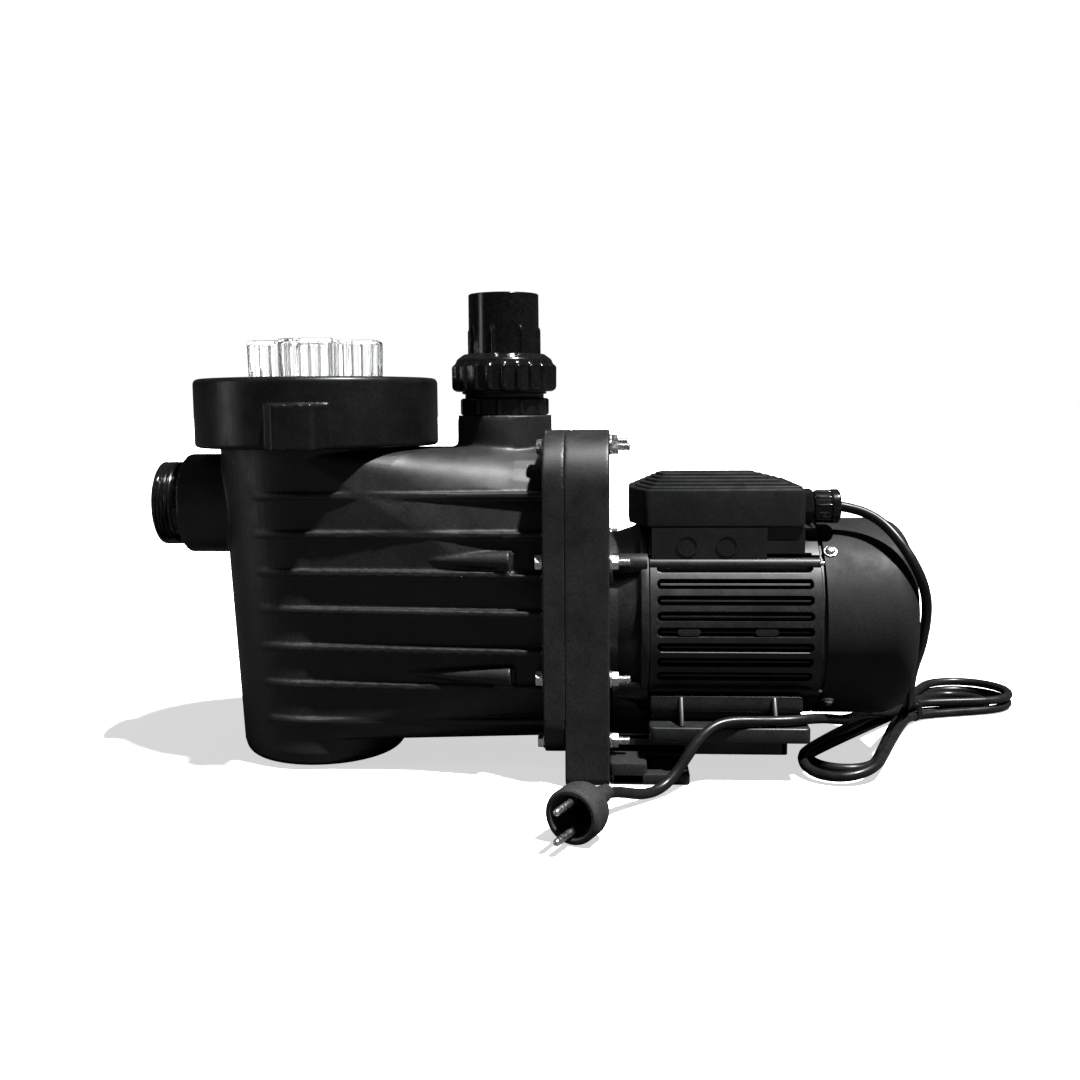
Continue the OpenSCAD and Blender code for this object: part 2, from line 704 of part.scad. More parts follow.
module rotor_core() color(steel) along_x(frame_x + 27) {
  tube(14, 34.5, 70);
  for (z = [-8, 69.5]) translate([0, 0, z]) tube(22, 33, 8.5);
}

module cooling_fan() color("#26282a") along_x(frame_back + 20) {
  tube(8.5, 15, 16);
  difference() {
    cylinder(r = 62, h = 3);
    translate([0, 0, -1]) cylinder(r = 14, h = 5);
  }
  for (k = [0 : 7]) rotate(k * 45) translate([14, -1.25, 1]) cube([50, 2.5, 15]);
}

module tie_rods() color(zinc) both_sides() for (side = [-1, 1])
  along_x(frame_x - 14, tie_y, axis_z + side * tie_z) {
    cylinder(r = 2.5, h = frame_l + 16.6);
    hexagon(8, 4);
  }

// Rounded profile of the fan cover, drawn in by inset
module fan_profile(inset) {
  square([fan_r - inset, cover_end - fan_x - fan_corner]);
  square([fan_r - fan_corner, cover_end - fan_x - inset]);
  translate([fan_r - fan_corner, cover_end - fan_x - fan_corner]) circle(fan_corner - inset);
}

module fan_cover() color(moulded_black) along_x(fan_x) difference() {
  rotate_extrude() intersection() {
    fan_profile(0);
    square([fan_r, 200]);
  }
  translate([0, 0, -0.01]) rotate_extrude() intersection() {
    fan_profile(fan_wall);
    square([fan_r, 200]);
  }
  // Air slots in the end wall
  for (k = [-4 : 4]) translate([k * 10 - 2.5, -sqrt(2300 - 100 * k * k), 50])
    cube([5, 2 * sqrt(2300 - 100 * k * k), 40]);
  for (side = [-1, 1], half = [0, 180]) rotate(half + side * screw_turn)
    translate([60, 0, screw_x - fan_x]) rotate([0, 90, 0]) cylinder(r = 2.2, h = 30);
}

module fan_cover_screws() color(zinc) along_x(screw_x) for (side = [-1, 1], half = [0, 180])
  rotate(half + side * screw_turn) rotate([0, 90, 0]) {
    translate([0, 0, 64]) cylinder(r = 1.95, h = 13);
    translate([0, 0, 75.7]) cylinder(r = 5, h = 1);
    translate([0, 0, 76.6]) cylinder(r = 3.8, h = 2.2);
  }

// ---- Terminal box ----

// Plan of the box: its pump end bows outwards
module box_plan(inset) polygon([[box_x + inset, inset - box_half], [box_back - inset, inset - box_half],
  [box_back - inset, box_half - inset], [box_x + inset, box_half - inset],
  [box_x + inset - 11, 22], [box_x + inset - 11, -22]]);

module terminal_box_base() color(moulded_black) difference() {
  union() {
    translate([frame_x + 2, -box_half, 158]) cube([84, 2 * box_half, box_split - 158]);
    translate([frame_x + 2, 4 - box_half, 158]) cube([112, 2 * box_half - 8, box_split - 158]);
    translate([frame_x + 86, 1.5 - box_half, 165]) cube([27, 2 * box_half - 3, 9]);
    // Knock-outs for other cable entries, near and far
    both_sides() for (x = [121, 150]) translate([x, -box_half + 1, 171]) rotate([90, 0, 0]) tube(6.8, 7.8, 1.6);
  }
  intersection() {
    along_x(frame_x - 5) cylinder(r = frame_r + 0.1, h = frame_l + 10);
    translate([frame_x - 5, -60, 150]) cube([frame_l, 120, box_seat + 0.1 - 150]);
  }
  translate([frame_x, -36, 170]) cube([5.5, 72, 20]);
  translate([frame_x + 34, -22, 150]) cube([44, 44, 50]);
  for (x = box_screw_x, y = [-44, 44]) translate([x, y, 170]) cylinder(r = 2, h = 20);
}

module terminal_box_gasket() color(rubber_black) translate([0, 0, box_split]) linear_extrude(1)
  difference() {
    intersection() {
      box_plan(1.5);
      translate([frame_x + 2, -60]) square([112, 120]);
    }
    translate([frame_x + 8, -50]) square([104, 100]);
  }

module terminal_box_lid() color(gloss_black) difference() {
  union() {
    translate([0, 0, box_split + 1]) linear_extrude(lid_shoulder - box_split - 1) box_plan(0);
    // Stepped roof with ridges along the motor
    for (k = [0 : 4]) translate([box_x + 3 * k - 7, -box_half + 2 + 9 * k, lid_shoulder - 1])
      cube([box_back - box_x + 3 - 7 * k, 2 * (box_half - 2 - 9 * k), 3 + 2 * k]);
  }
  translate([0, 0, box_split]) linear_extrude(lid_shoulder - box_split - 2) box_plan(box_wall);
  along_x(box_back - 10, gland_y, gland_z) cylinder(r = 8, h = 20);
}

module terminal_box_screws() color(zinc) for (x = box_screw_x, y = [-44, 44])
  translate([x, y, 0]) {
    translate([0, 0, 176]) cylinder(r = 2, h = 30);
    translate([0, 0, 186.5]) cylinder(r = 3.6, h = 2.4);
  }

module terminal_block() color("#b9b29c") difference() {
  translate([112, -34, box_split]) cube([44, 22, 17]);
  for (k = [0 : 3]) translate([118 + k * 10.5, -23, 193]) cylinder(r = 3, h = 12);
}

module run_capacitor() color("#e4e4e0") along_x(110, 24, box_split + 10) {
  cylinder(r = 9.8, h = 66);
  translate([0, 0, 66]) cylinder(r = 4, h = 5);
}

module gland_body() color(gloss_black) along_x(0, gland_y, gland_z) difference() {
  union() {
    translate([0, 0, gland_x - 9]) cylinder(r = 7.9, h = 12);
    translate([0, 0, gland_x]) cylinder(r = 12.4, h = 7);
    translate([0, 0, gland_x + 6]) cylinder(r = 9.5, h = 9);
  }
  translate([0, 0, gland_x - 10]) cylinder(r = 5.2, h = 40);
}

module gland_seal() color(rubber_black) along_x(gland_x + 15.2, gland_y, gland_z) tube(cord_d / 2 + 0.1, 8, 5);

module gland_nut() color(gloss_black) along_x(gland_x + 8, gland_y, gland_z) difference() {
  union() {
    cylinder(r = 12, h = 15);
    translate([0, 0, 13]) cylinder(r = 12.8, h = 6);
    for (k = [0 : 11]) rotate(k * 30) translate([11.5, -1.2, 1]) cube([1.2, 2.4, 13]);
  }
  translate([0, 0, -1]) cylinder(r = 9.6, h = 15.5);
  cylinder(r = cord_d / 2 + 0.6, h = 40);
}

// ---- Supply cord ----

function unit(v) = v / norm(v);

// Direction of a route at point i
function heading(route, i) = unit(route[min(i + 1, len(route) - 1)] - route[max(i - 1, 0)]);

// Catmull-Rom point between route points i and i + 1, at fraction t
function smooth_point(route, i, t) =
  let (a = route[max(i - 1, 0)], b = route[i], c = route[i + 1], d = route[min(i + 2, len(route) - 1)])
  0.5 * (2 * b + (c - a) * t + (2 * a - 5 * b + 4 * c - d) * t * t + (3 * b - a - 3 * c + d) * t * t * t);

function smooth_route(route) = concat(
  [for (i = [0 : len(route) - 2], t = [0, 0.5]) smooth_point(route, i, t)], [route[len(route) - 1]]);

// One octagonal ring of the tube around route point i
function ring_points(route, i, r) =
  let (along = heading(route, i), side = unit(cross(along, [0.3, 0.2, 1])), up = cross(side, along))
  [for (k = [0 : 7]) route[i] + r * (cos(k * 45) * side + sin(k * 45) * up)];

module swept_tube(route, r) {
  rings = len(route);
  points = [for (i = [0 : rings - 1]) each ring_points(route, i, r)];
  sides = [for (i = [0 : rings - 2], k = [0 : 7])
    [i * 8 + k, i * 8 + (k + 1) % 8, (i + 1) * 8 + (k + 1) % 8, (i + 1) * 8 + k]];
  ends = [[for (k = [7 : -1 : 0]) k], [for (k = [0 : 7]) (rings - 1) * 8 + k]];
  polyhedron(points, concat(sides, ends), convexity = 6);
}

module cord_lead() color(rubber_black) swept_tube(smooth_route(lead_route), cord_d / 2);

module cord_tail() color(rubber_black) swept_tube(smooth_route(tail_route), cord_d / 2);

// The wound lead: a thin waist at the tie and a lobe of loops on each side of it
module cord_hank() color(rubber_black) linear_extrude(hank_h) {
  hull() {
    translate(hank_near) circle(hank_near_r, $fn = 32);
    translate(hank_waist) circle(hank_waist_r, $fn = 32);
  }
  hull() {
    translate(hank_waist) circle(hank_waist_r, $fn = 32);
    translate(hank_far) circle(hank_far_r, $fn = 32);
  }
}

// Strap around the waist of the hank
module cord_tie() color(gloss_black) translate([hank_waist[0], hank_waist[1], 0]) rotate(49)
  translate([-4, 0, 0]) difference() {
    translate([0, -hank_waist_r - 3, 0]) cube([8, 2 * hank_waist_r + 6, hank_h + 2]);
    translate([-1, -hank_waist_r - 1.4, 1]) cube([10, 2 * hank_waist_r + 2.8, hank_h - 0.4]);
  }

// Round plug lying on its side: a tapered relief, a grip body and the face with its two pins
module plug_body() color(rubber_black) translate(plug_place) rotate(plug_turn) rotate([0, 90, 0])
  difference() {
    union() {
      cylinder(r1 = 5.4, r2 = 8, h = 24);
      translate([0, 0, 23]) cylinder(r1 = 9, r2 = plug_r, h = 12);
      translate([0, 0, 34.9]) cylinder(r = plug_r, h = 20);
    }
    translate([0, 0, -1]) cylinder(r = cord_d / 2 - 0.1, h = 12);
    // Grips on both sides
    for (side = [-1, 1]) translate([-10, side * (plug_r + 7), 42]) rotate([0, 90, 0])
      cylinder(r = 9, h = 20);
  }

module plug_pins() color(zinc) translate(plug_place) rotate(plug_turn) rotate([0, 90, 0])
  for (side = [-1, 1]) translate([side * 9.5, 0, 48]) {
    cylinder(r = 2.4, h = 24);
    translate([0, 0, 24]) sphere(r = 2.4);
  }

strainer_pot();
pump_casing();
suction_insert();
suction_seal();
discharge_insert();
discharge_seal();
union_gasket();
union_tail();
union_nut();
strainer_basket();
basket_handle();
strainer_lid();
lid_seal();
lock_ring();
drain_plug();
drain_seal();
casing_gasket();
diffuser();
diffuser_seal();
impeller();
impeller_nut();
seal_seat();
seal_head();
rear_cover();
casing_bolts();
casing_washers();
casing_nuts();
motor_base();
front_endshield();
motor_frame();
stator_core();
stator_windings();
rear_endshield();
bearing_outer_rings();
bearing_inner_rings();
bearing_balls();
motor_shaft();
rotor_core();
cooling_fan();
tie_rods();
fan_cover();
fan_cover_screws();
terminal_box_base();
terminal_box_gasket();
terminal_box_lid();
terminal_box_screws();
terminal_block();
run_capacitor();
gland_body();
gland_seal();
gland_nut();
cord_lead();
cord_hank();
cord_tail();
cord_tie();
plug_body();
plug_pins();
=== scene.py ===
"""Pool pump: camera, light, supply cord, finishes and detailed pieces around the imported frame."""

import json
import math

import bmesh
import bpy
import numpy as np
from mathutils import Matrix, Vector

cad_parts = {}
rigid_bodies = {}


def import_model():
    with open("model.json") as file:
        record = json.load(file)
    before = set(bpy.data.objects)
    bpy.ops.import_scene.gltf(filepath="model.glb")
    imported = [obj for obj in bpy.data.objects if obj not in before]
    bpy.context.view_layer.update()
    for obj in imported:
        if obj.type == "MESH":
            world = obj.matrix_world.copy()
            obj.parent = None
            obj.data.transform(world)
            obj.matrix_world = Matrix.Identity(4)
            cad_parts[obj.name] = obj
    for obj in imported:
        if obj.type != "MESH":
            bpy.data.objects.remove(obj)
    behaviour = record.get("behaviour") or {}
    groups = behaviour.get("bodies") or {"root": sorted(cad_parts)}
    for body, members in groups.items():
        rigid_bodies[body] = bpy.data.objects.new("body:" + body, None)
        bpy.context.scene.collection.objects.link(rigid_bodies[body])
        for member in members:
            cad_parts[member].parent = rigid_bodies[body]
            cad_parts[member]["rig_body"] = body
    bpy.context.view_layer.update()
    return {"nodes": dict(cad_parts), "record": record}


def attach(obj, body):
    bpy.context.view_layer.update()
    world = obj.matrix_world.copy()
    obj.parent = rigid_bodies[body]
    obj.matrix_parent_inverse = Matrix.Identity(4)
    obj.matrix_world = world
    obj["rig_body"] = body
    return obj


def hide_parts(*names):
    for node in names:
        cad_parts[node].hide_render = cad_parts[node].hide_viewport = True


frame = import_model()
nodes = frame["nodes"]
node_body = {n: o["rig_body"] for n, o in nodes.items()}
scene = bpy.context.scene
MM = 0.001

# Places in the row frame, in millimetres, as the CAD has them
POT_X, DISCHARGE_X, AXIS_Z, SUCTION_Z = -165, -17.5, 110, 199
FLANGE_X, COVER_BACK, FRAME_X, FRAME_BACK = 16.5, 64, 93, 218
RING_TOP, KNOB_TOP = 296, 325
BOLTS = [(y * s, z) for y, z in ((60, 244), (87.5, 163), (87.5, 78), (66, 26.5)) for s in (-1, 1)]
TIE_Y, TIE_Z = 54, 47
BOSSES = (121.5, 177.5)


# ---- Camera ----

def make_camera():
    yaw, pitch, roll = (math.radians(a) for a in (3.56, 6.61, -0.47))
    ahead = Vector((-math.sin(yaw) * math.cos(pitch), math.cos(yaw) * math.cos(pitch), -math.sin(pitch)))
    right = ahead.cross(Vector((0, 0, 1))).normalized()
    up = right.cross(ahead)
    turned_right = math.cos(roll) * right + math.sin(roll) * up
    turned_up = -math.sin(roll) * right + math.cos(roll) * up
    data = bpy.data.cameras.new("camera")
    data.lens, data.sensor_width = 38.585, 36
    camera = bpy.data.objects.new("camera", data)
    scene.collection.objects.link(camera)
    camera.matrix_world = Matrix.Translation((0.0655, -0.9043, 0.2737)) @ Matrix(
        (turned_right, turned_up, -ahead)).transposed().to_4x4()
    scene.camera = camera


make_camera()


# ---- Mesh helpers: lengths are millimetres, in the row frame ----

def finished(obj, angle=35):
    """Smooth shading that keeps edges sharper than the angle."""
    obj.data.polygons.foreach_set("use_smooth", [True] * len(obj.data.polygons))
    obj.data.set_sharp_from_angle(angle=math.radians(angle))
    return obj


def solid(name, points, faces, place=None, angle=35):
    """A mesh object from points in millimetres, put in place by a matrix."""
    mesh = bpy.data.meshes.new(name)
    points = np.asarray(points, float).reshape(-1, 3)
    if place is not None:
        m = np.array(place, float)
        points = points @ m[:3, :3].T + m[:3, 3]
    mesh.from_pydata((points * MM).tolist(), [], [list(f) for f in faces])
    bm = bmesh.new()
    bm.from_mesh(mesh)
    bmesh.ops.recalc_face_normals(bm, faces=bm.faces[:])
    bm.to_mesh(mesh)
    bm.free()
    obj = bpy.data.objects.new(name, mesh)
    scene.collection.objects.link(obj)
    return finished(obj, angle)


def along(x, y=0, z=AXIS_Z):
    """Matrix that lays +Z along +X from the point (x, y, z)."""
    return Matrix.Translation((x, y, z)) @ Matrix.Rotation(math.pi / 2, 4, "Y")


def at(x, y, z, turn=0):
    return Matrix.Translation((x, y, z)) @ Matrix.Rotation(math.radians(turn), 4, "Z")


def filleted(corners, steps=5):
    """Closed outline from (x, y, radius) corners, each rounded by its radius."""
    out, n = [], len(corners)
    for i, (x, y, radius) in enumerate(corners):
        here = Vector((x, y))
        before = Vector(corners[i - 1][:2]) - here
        after = Vector(corners[(i + 1) % n][:2]) - here
        if radius <= 0:
            out.append(tuple(here))
            continue
        a, b = before.normalized(), after.normalized()
        half = a.angle(b) / 2
        reach = min(radius / math.tan(half), 0.499 * before.length, 0.499 * after.length)
        centre = here + (a + b).normalized() * (reach / math.cos(half))
        first, last = here + a * reach - centre, here + b * reach - centre
        sweep = first.angle(last)
        for k in range(steps + 1):
            t = k / steps
            v = (first * math.sin((1 - t) * sweep) + last * math.sin(t * sweep)) / math.sin(sweep)
            out.append(tuple(centre + v))
    return out


def turned(name, outline, segments=128, bump=None, place=None, pole=False, angle=35):
    """Turns an outline of (radius, height) about Z. It is closed, or with pole starts and ends on the axis.
    bump(angle, radius, height) says how much further out each point lies."""
    rows = np.array(outline, float)
    if pole:
        rows = rows[1:-1]
    n = len(rows)
    a = np.linspace(0, 2 * math.pi, segments, endpoint=False)[:, None]
    r, h = np.broadcast_to(rows[:, 0], (segments, n)), np.broadcast_to(rows[:, 1], (segments, n))
    if bump is not None:
        r = r + bump(np.broadcast_to(a, r.shape), r, h)
    points = np.stack([r * np.cos(a), r * np.sin(a), h], -1).reshape(-1, 3)
    faces = []
    last = n - 1 if pole else n
    for s in range(segments):
        t = (s + 1) % segments
        for i in range(last):
            j = (i + 1) % n
            faces.append((s * n + i, t * n + i, t * n + j, s * n + j))
    if pole:
        top, bottom = len(points), len(points) + 1
        points = np.vstack([points, [[0, 0, outline[0][1]], [0, 0, outline[-1][1]]]])
        for s in range(segments):
            t = (s + 1) % segments
            faces.append((top, s * n, t * n))
            faces.append((bottom, t * n + n - 1, s * n + n - 1))
    return solid(name, points, faces, place, angle)


def stacked(name, rings, place=None, closed=False, angle=35):
    """Skins rings of equally many points. The ends are capped, or with closed the last joins the first."""
    n = len(rings[0])
    points = [p for ring in rings for p in ring]
    faces = []
    count = len(rings)
    for k in range(count if closed else count - 1):
        m = (k + 1) % count
        for i in range(n):
            j = (i + 1) % n
            faces.append((k * n + i, k * n + j, m * n + j, m * n + i))
    if not closed:
        faces.append(list(range(n))[::-1])
        faces.append([(count - 1) * n + i for i in range(n)])
    return solid(name, points, faces, place, angle)


def prism(name, outline, low, high, soft=0.8, place=None, steps=3, angle=35):
    """Raises a flat outline from low to high, with its rims rounded by soft."""
    flat = np.array(outline, float)
    rings = []
    turns = np.linspace(0, math.pi / 2, steps)
    levels = [(low + soft * (1 - math.cos(t)), soft * (1 - math.sin(t))) for t in turns]
    levels += [(high - soft * (1 - math.cos(t)), soft * (1 - math.sin(t))) for t in turns[::-1]]
    for z, inset in levels:
        ring = inset_outline(flat, inset)
        rings.append([(x, y, z) for x, y in ring])
    return stacked(name, rings, place, angle=angle)


def inset_outline(flat, inset):
    """The outline drawn in by a small inset, corner by corner."""
    if inset <= 0:
        return flat
    before, after = flat - np.roll(flat, 1, 0), np.roll(flat, -1, 0) - flat
    turn = np.sign((flat[:, 0] * np.roll(flat[:, 1], -1) - np.roll(flat[:, 0], -1) * flat[:, 1]).sum())

    def normals(v):
        u = v / np.maximum(np.linalg.norm(v, axis=1), 1e-9)[:, None]
        return np.stack([-u[:, 1], u[:, 0]], 1) * turn

    a, b = normals(before), normals(after)
    mean = a + b
    mean /= np.maximum(np.linalg.norm(mean, axis=1), 1e-9)[:, None]
    return flat + mean * (inset / np.maximum((mean * a).sum(1), 0.5))[:, None]


def block(name, x0, x1, y0, y1, z0, z1, soft=1.0, corner=None):
    """A box with rounded edges; corner is the radius of its upright edges."""
    r = soft if corner is None else corner
    return prism(name, filleted([(x0, y0, r), (x1, y0, r), (x1, y1, r), (x0, y1, r)], 4), z0, z1, soft)


def joined(name, parts):
    """Several objects as one, with nothing cut."""
    bm = bmesh.new()
    for p in parts:
        bm.from_mesh(p.data)
    mesh = bpy.data.meshes.new(name)
    bm.to_mesh(mesh)
    bm.free()
    for p in parts:
        bpy.data.objects.remove(p)
    obj = bpy.data.objects.new(name, mesh)
    scene.collection.objects.link(obj)
    return obj


def baked(obj):
    """Applies the modifiers."""
    mesh = bpy.data.meshes.new_from_object(obj.evaluated_get(bpy.context.evaluated_depsgraph_get()))
    obj.modifiers.clear()
    obj.data = mesh
    return obj


def cut(obj, *tools):
    """Cuts the tools out of obj."""
    for tool in tools:
        m = obj.modifiers.new("cut", "BOOLEAN")
        m.operation, m.solver, m.object = "DIFFERENCE", "EXACT", tool
    baked(obj)
    for tool in tools:
        bpy.data.objects.remove(tool)
    return finished(obj)


def moulding(name, sources, voxel, passes):
    """CAD solids run together into one skin with softly rounded edges and inner corners."""
    bm = bmesh.new()
    for s in sources:
        bm.from_mesh(nodes[s].data)
    bmesh.ops.remove_doubles(bm, verts=bm.verts[:], dist=1e-6)
    mesh = bpy.data.meshes.new(name)
    bm.to_mesh(mesh)
    bm.free()
    obj = bpy.data.objects.new(name, mesh)
    scene.collection.objects.link(obj)
    remesh = obj.modifiers.new("voxels", "REMESH")
    remesh.mode, remesh.voxel_size, remesh.use_smooth_shade = "VOXEL", voxel * MM, True
    soft = obj.modifiers.new("soft", "SMOOTH")
    soft.factor, soft.iterations = 0.5, passes
    baked(obj)
    obj.data.polygons.foreach_set("use_smooth", [True] * len(obj.data.polygons))
    return obj


def evened(obj, share, passes):
    """Evens out the facets of a skin where share(x, y, z), in millimetres, is above 0."""
    mesh = obj.data
    points = np.empty(len(mesh.vertices) * 3, np.float32)
    mesh.vertices.foreach_get("co", points)
    points = points.reshape(-1, 3).astype(float)
    edges = np.empty(len(mesh.edges) * 2, np.int32)
    mesh.edges.foreach_get("vertices", edges)
    edges = edges.reshape(-1, 2)
    weight = share(*(points.T / MM))
    near = np.unique(edges[(weight[edges] > 0).any(1)])
    place = np.full(len(points), -1)
    place[near] = np.arange(len(near))
    a, b = place[edges[(place[edges] >= 0).all(1)]].T
    local, w = points[near], weight[near][:, None] * 0.5
    degree = np.maximum(np.bincount(a, minlength=len(near)) + np.bincount(b, minlength=len(near)), 1)[:, None]
    for _ in range(passes):
        total = np.stack([np.bincount(a, local[b, k], len(near)) + np.bincount(b, local[a, k], len(near))
                          for k in range(3)], 1)
        local = local + w * (total / degree - local)
    points[near] = local
    mesh.vertices.foreach_set("co", points.astype(np.float32).ravel())
    mesh.update()


# ---- Finishes ----

class Finish:
    """A procedural material around one Principled shader, placed by the object's own coordinates."""

    def __init__(self, name, **values):
        self.material = bpy.data.materials.new(name)
        self.material.use_nodes = True
        self.tree = self.material.node_tree
        self.shader = self.tree.nodes["Principled BSDF"]
        for k, v in values.items():
            self.shader.inputs[k.replace("_", " ")].default_value = v
        self.place = self.add("ShaderNodeTexCoord").outputs["Object"]

    def add(self, kind, links=(), **inputs):
        n = self.tree.nodes.new(kind)
        for k, v in inputs.items():
            n.inputs[k.replace("_", " ")].default_value = v
        for socket, source in links:
            self.tree.links.new(source, n.inputs[socket])
        return n

    def noise(self, scale, detail=2.0, rough=0.5, stretch=None):
        place = self.place
        if stretch is not None:
            place = self.add("ShaderNodeMapping", [("Vector", place)], Scale=stretch).outputs[0]
        n = self.add("ShaderNodeTexNoise", [("Vector", place)], Scale=scale, Detail=detail, Roughness=rough)
        return n.outputs["Fac"]

    def span(self, source, low, high, start, end):
        n = self.add("ShaderNodeMapRange", [("Value", source)])
        for k, v in (("From Min", low), ("From Max", high), ("To Min", start), ("To Max", end)):
            n.inputs[k].default_value = v
        return n.outputs[0]

    def between(self, source, first, last, low=0.3, high=0.7):
        n = self.add("ShaderNodeValToRGB", [("Fac", source)])
        n.color_ramp.elements[0].position, n.color_ramp.elements[1].position = low, high
        n.color_ramp.elements[0].color, n.color_ramp.elements[1].color = (*first, 1), (*last, 1)
        return n.outputs["Color"]

    def mix(self, share, a, b, kind="MIX"):
        n = self.tree.nodes.new("ShaderNodeMix")
        n.data_type, n.blend_type = "RGBA", kind
        sockets = [n.inputs[0], n.inputs[6], n.inputs[7]]
        for socket, value in zip(sockets, (share, a, b)):
            if isinstance(value, bpy.types.NodeSocket):
                self.tree.links.new(value, socket)
            else:
                socket.default_value = value
        return n.outputs[2]

    def colour(self, source):
        self.tree.links.new(source, self.shader.inputs["Base Color"])
        return self

    def gloss(self, source):
        self.tree.links.new(source, self.shader.inputs["Roughness"])
        return self

    def relief(self, *layers):
        """Bumps in layers of (height source, strength, depth in metres)."""
        normal = None
        for height, strength, depth in layers:
            links = [("Height", height)] + ([("Normal", normal)] if normal else [])
            normal = self.add("ShaderNodeBump", links, Strength=strength, Distance=depth).outputs[0]
        self.tree.links.new(normal, self.shader.inputs["Normal"])
        return self


def plastic(name, dark, light, rough, grain=1500, depth=0.00012, strength=0.5, swing=0.08, ior=1.42):
    """Moulded plastic: mottled colour, uneven gloss, a fine grain and slight sinks."""
    f = Finish(name, IOR=ior)
    mottle = f.between(f.noise(26, 6, 0.6), dark, light, 0.36, 0.66)
    speck = f.between(f.noise(grain * 0.55, 3, 0.6), (0.55, 0.55, 0.55), (1.5, 1.5, 1.5), 0.36, 0.64)
    f.colour(f.mix(1.0, mottle, speck, "MULTIPLY"))
    f.gloss(f.span(f.noise(60, 5, 0.62), 0.32, 0.68, rough - swing, rough + swing))
    f.relief((f.noise(14, 2), 0.25, 0.0006), (f.noise(grain, 3, 0.6), strength, depth))
    return f.material


def metal(name, dark, light, rough, brush=None):
    f = Finish(name, Metallic=1.0)
    f.colour(f.between(f.noise(220, 5, 0.65), dark, light, 0.3, 0.7))
    f.gloss(f.span(f.noise(500, 4), 0.3, 0.7, rough - 0.08, rough + 0.12))
    f.relief((f.noise(1800 if brush is None else 900, 3, 0.6, brush), 0.35, 0.00006))
    return f.material


def make_finishes():
    made = {}
    made["moulded_black"] = plastic(
        "moulded_black", (0.006, 0.0063, 0.0067), (0.012, 0.0124, 0.0128), 0.46, 1500, 0.00013, 0.55)
    made["ring_black"] = plastic(
        "ring_black", (0.003, 0.0031, 0.0033), (0.006, 0.0062, 0.0064), 0.34, 1300, 0.00012, 0.4, ior=1.33)
    made["gloss_black"] = plastic(
        "gloss_black", (0.003, 0.0031, 0.0033), (0.005, 0.0051, 0.0053), 0.18, 700, 0.00003, 0.12, 0.04, 1.42)
    made["box_black"] = plastic(
        "box_black", (0.005, 0.0053, 0.0058), (0.009, 0.0093, 0.0098), 0.33, 1700, 0.00006, 0.4, 0.06)
    made["motor_black"] = plastic(
        "motor_black", (0.006, 0.0063, 0.0067), (0.011, 0.0115, 0.012), 0.42, 1000, 0.00008, 0.4)
    made["fan_black"] = plastic(
        "fan_black", (0.008, 0.0083, 0.0087), (0.012, 0.0123, 0.0127), 0.58, 2200, 0.00006, 0.4, ior=1.25)
    made["inner_plastic"] = plastic("inner_plastic", (0.02, 0.022, 0.024), (0.035, 0.037, 0.04), 0.38)
    made["light_plastic"] = plastic(
        "light_plastic", (0.55, 0.53, 0.47), (0.68, 0.66, 0.60), 0.42, 900, 0.00005)
    made["rubber"] = plastic(
        "rubber", (0.008, 0.008, 0.008), (0.014, 0.014, 0.014), 0.72, 1100, 0.00015, 0.6)
    cord = Finish("cord_black", IOR=1.3)
    cord.colour(cord.between(cord.noise(60, 5), (0.004, 0.004, 0.0043), (0.009, 0.009, 0.0095)))
    cord.gloss(cord.span(cord.noise(130, 4), 0.3, 0.7, 0.24, 0.42))
    cord.relief((cord.noise(70, 3), 0.3, 0.0004), (cord.noise(1600, 2), 0.25, 0.00006))
    made["cord_black"] = cord.material
    made["zinc"] = metal("zinc", (0.55, 0.56, 0.58), (0.86, 0.87, 0.88), 0.26)
    made["steel"] = metal("steel", (0.36, 0.37, 0.39), (0.58, 0.59, 0.61), 0.32, (1, 8, 8))
    copper = Finish("copper", Metallic=0.9)
    copper.colour(copper.between(copper.noise(400, 4), (0.42, 0.15, 0.06), (0.70, 0.30, 0.13)))
    copper.gloss(copper.span(copper.noise(300, 3), 0.3, 0.7, 0.25, 0.45))
    strands = copper.add("ShaderNodeTexWave", [("Vector", copper.place)], Scale=900.0, Distortion=3.0)
    copper.relief((strands.outputs["Fac"], 0.6, 0.0003))
    made["copper"] = copper.material
    made["ceramic"] = plastic("ceramic", (0.62, 0.60, 0.55), (0.74, 0.72, 0.67), 0.30, 2000, 0.00003)
    basket = Finish("basket_plastic", IOR=1.49, Subsurface_Weight=0.25, Subsurface_Scale=0.004)
    basket.colour(basket.between(basket.noise(40, 4), (0.30, 0.32, 0.33), (0.40, 0.42, 0.43)))
    basket.gloss(basket.span(basket.noise(200, 3), 0.3, 0.7, 0.32, 0.46))
    basket.relief((basket.noise(900, 2), 0.2, 0.00008))
    made["basket_plastic"] = basket.material
    clear = Finish("clear_plastic", IOR=1.49, Transmission_Weight=0.97)
    clear.colour(clear.between(clear.noise(30, 3), (0.97, 0.98, 0.985), (1.0, 1.0, 1.0)))
    clear.gloss(clear.span(clear.noise(90, 4), 0.35, 0.7, 0.01, 0.05))
    clear.relief((clear.noise(45, 2), 0.12, 0.0008))
    made["clear_plastic"] = clear.material
    return made


FINISHES = make_finishes()


def finish_as(obj, finish):
    obj.data.materials.clear()
    obj.data.materials.append(FINISHES[finish])
    for m in obj.material_slots:
        m.material = FINISHES[finish]
    return obj


def stands_for(obj, finish, slot, *replaced):
    """Gives a new piece its finish and its body, and hides the CAD nodes that it stands for."""
    finish_as(obj, finish)
    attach(obj, node_body[replaced[0]])
    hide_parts(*replaced)
    return obj


# ---- Supply cord ----

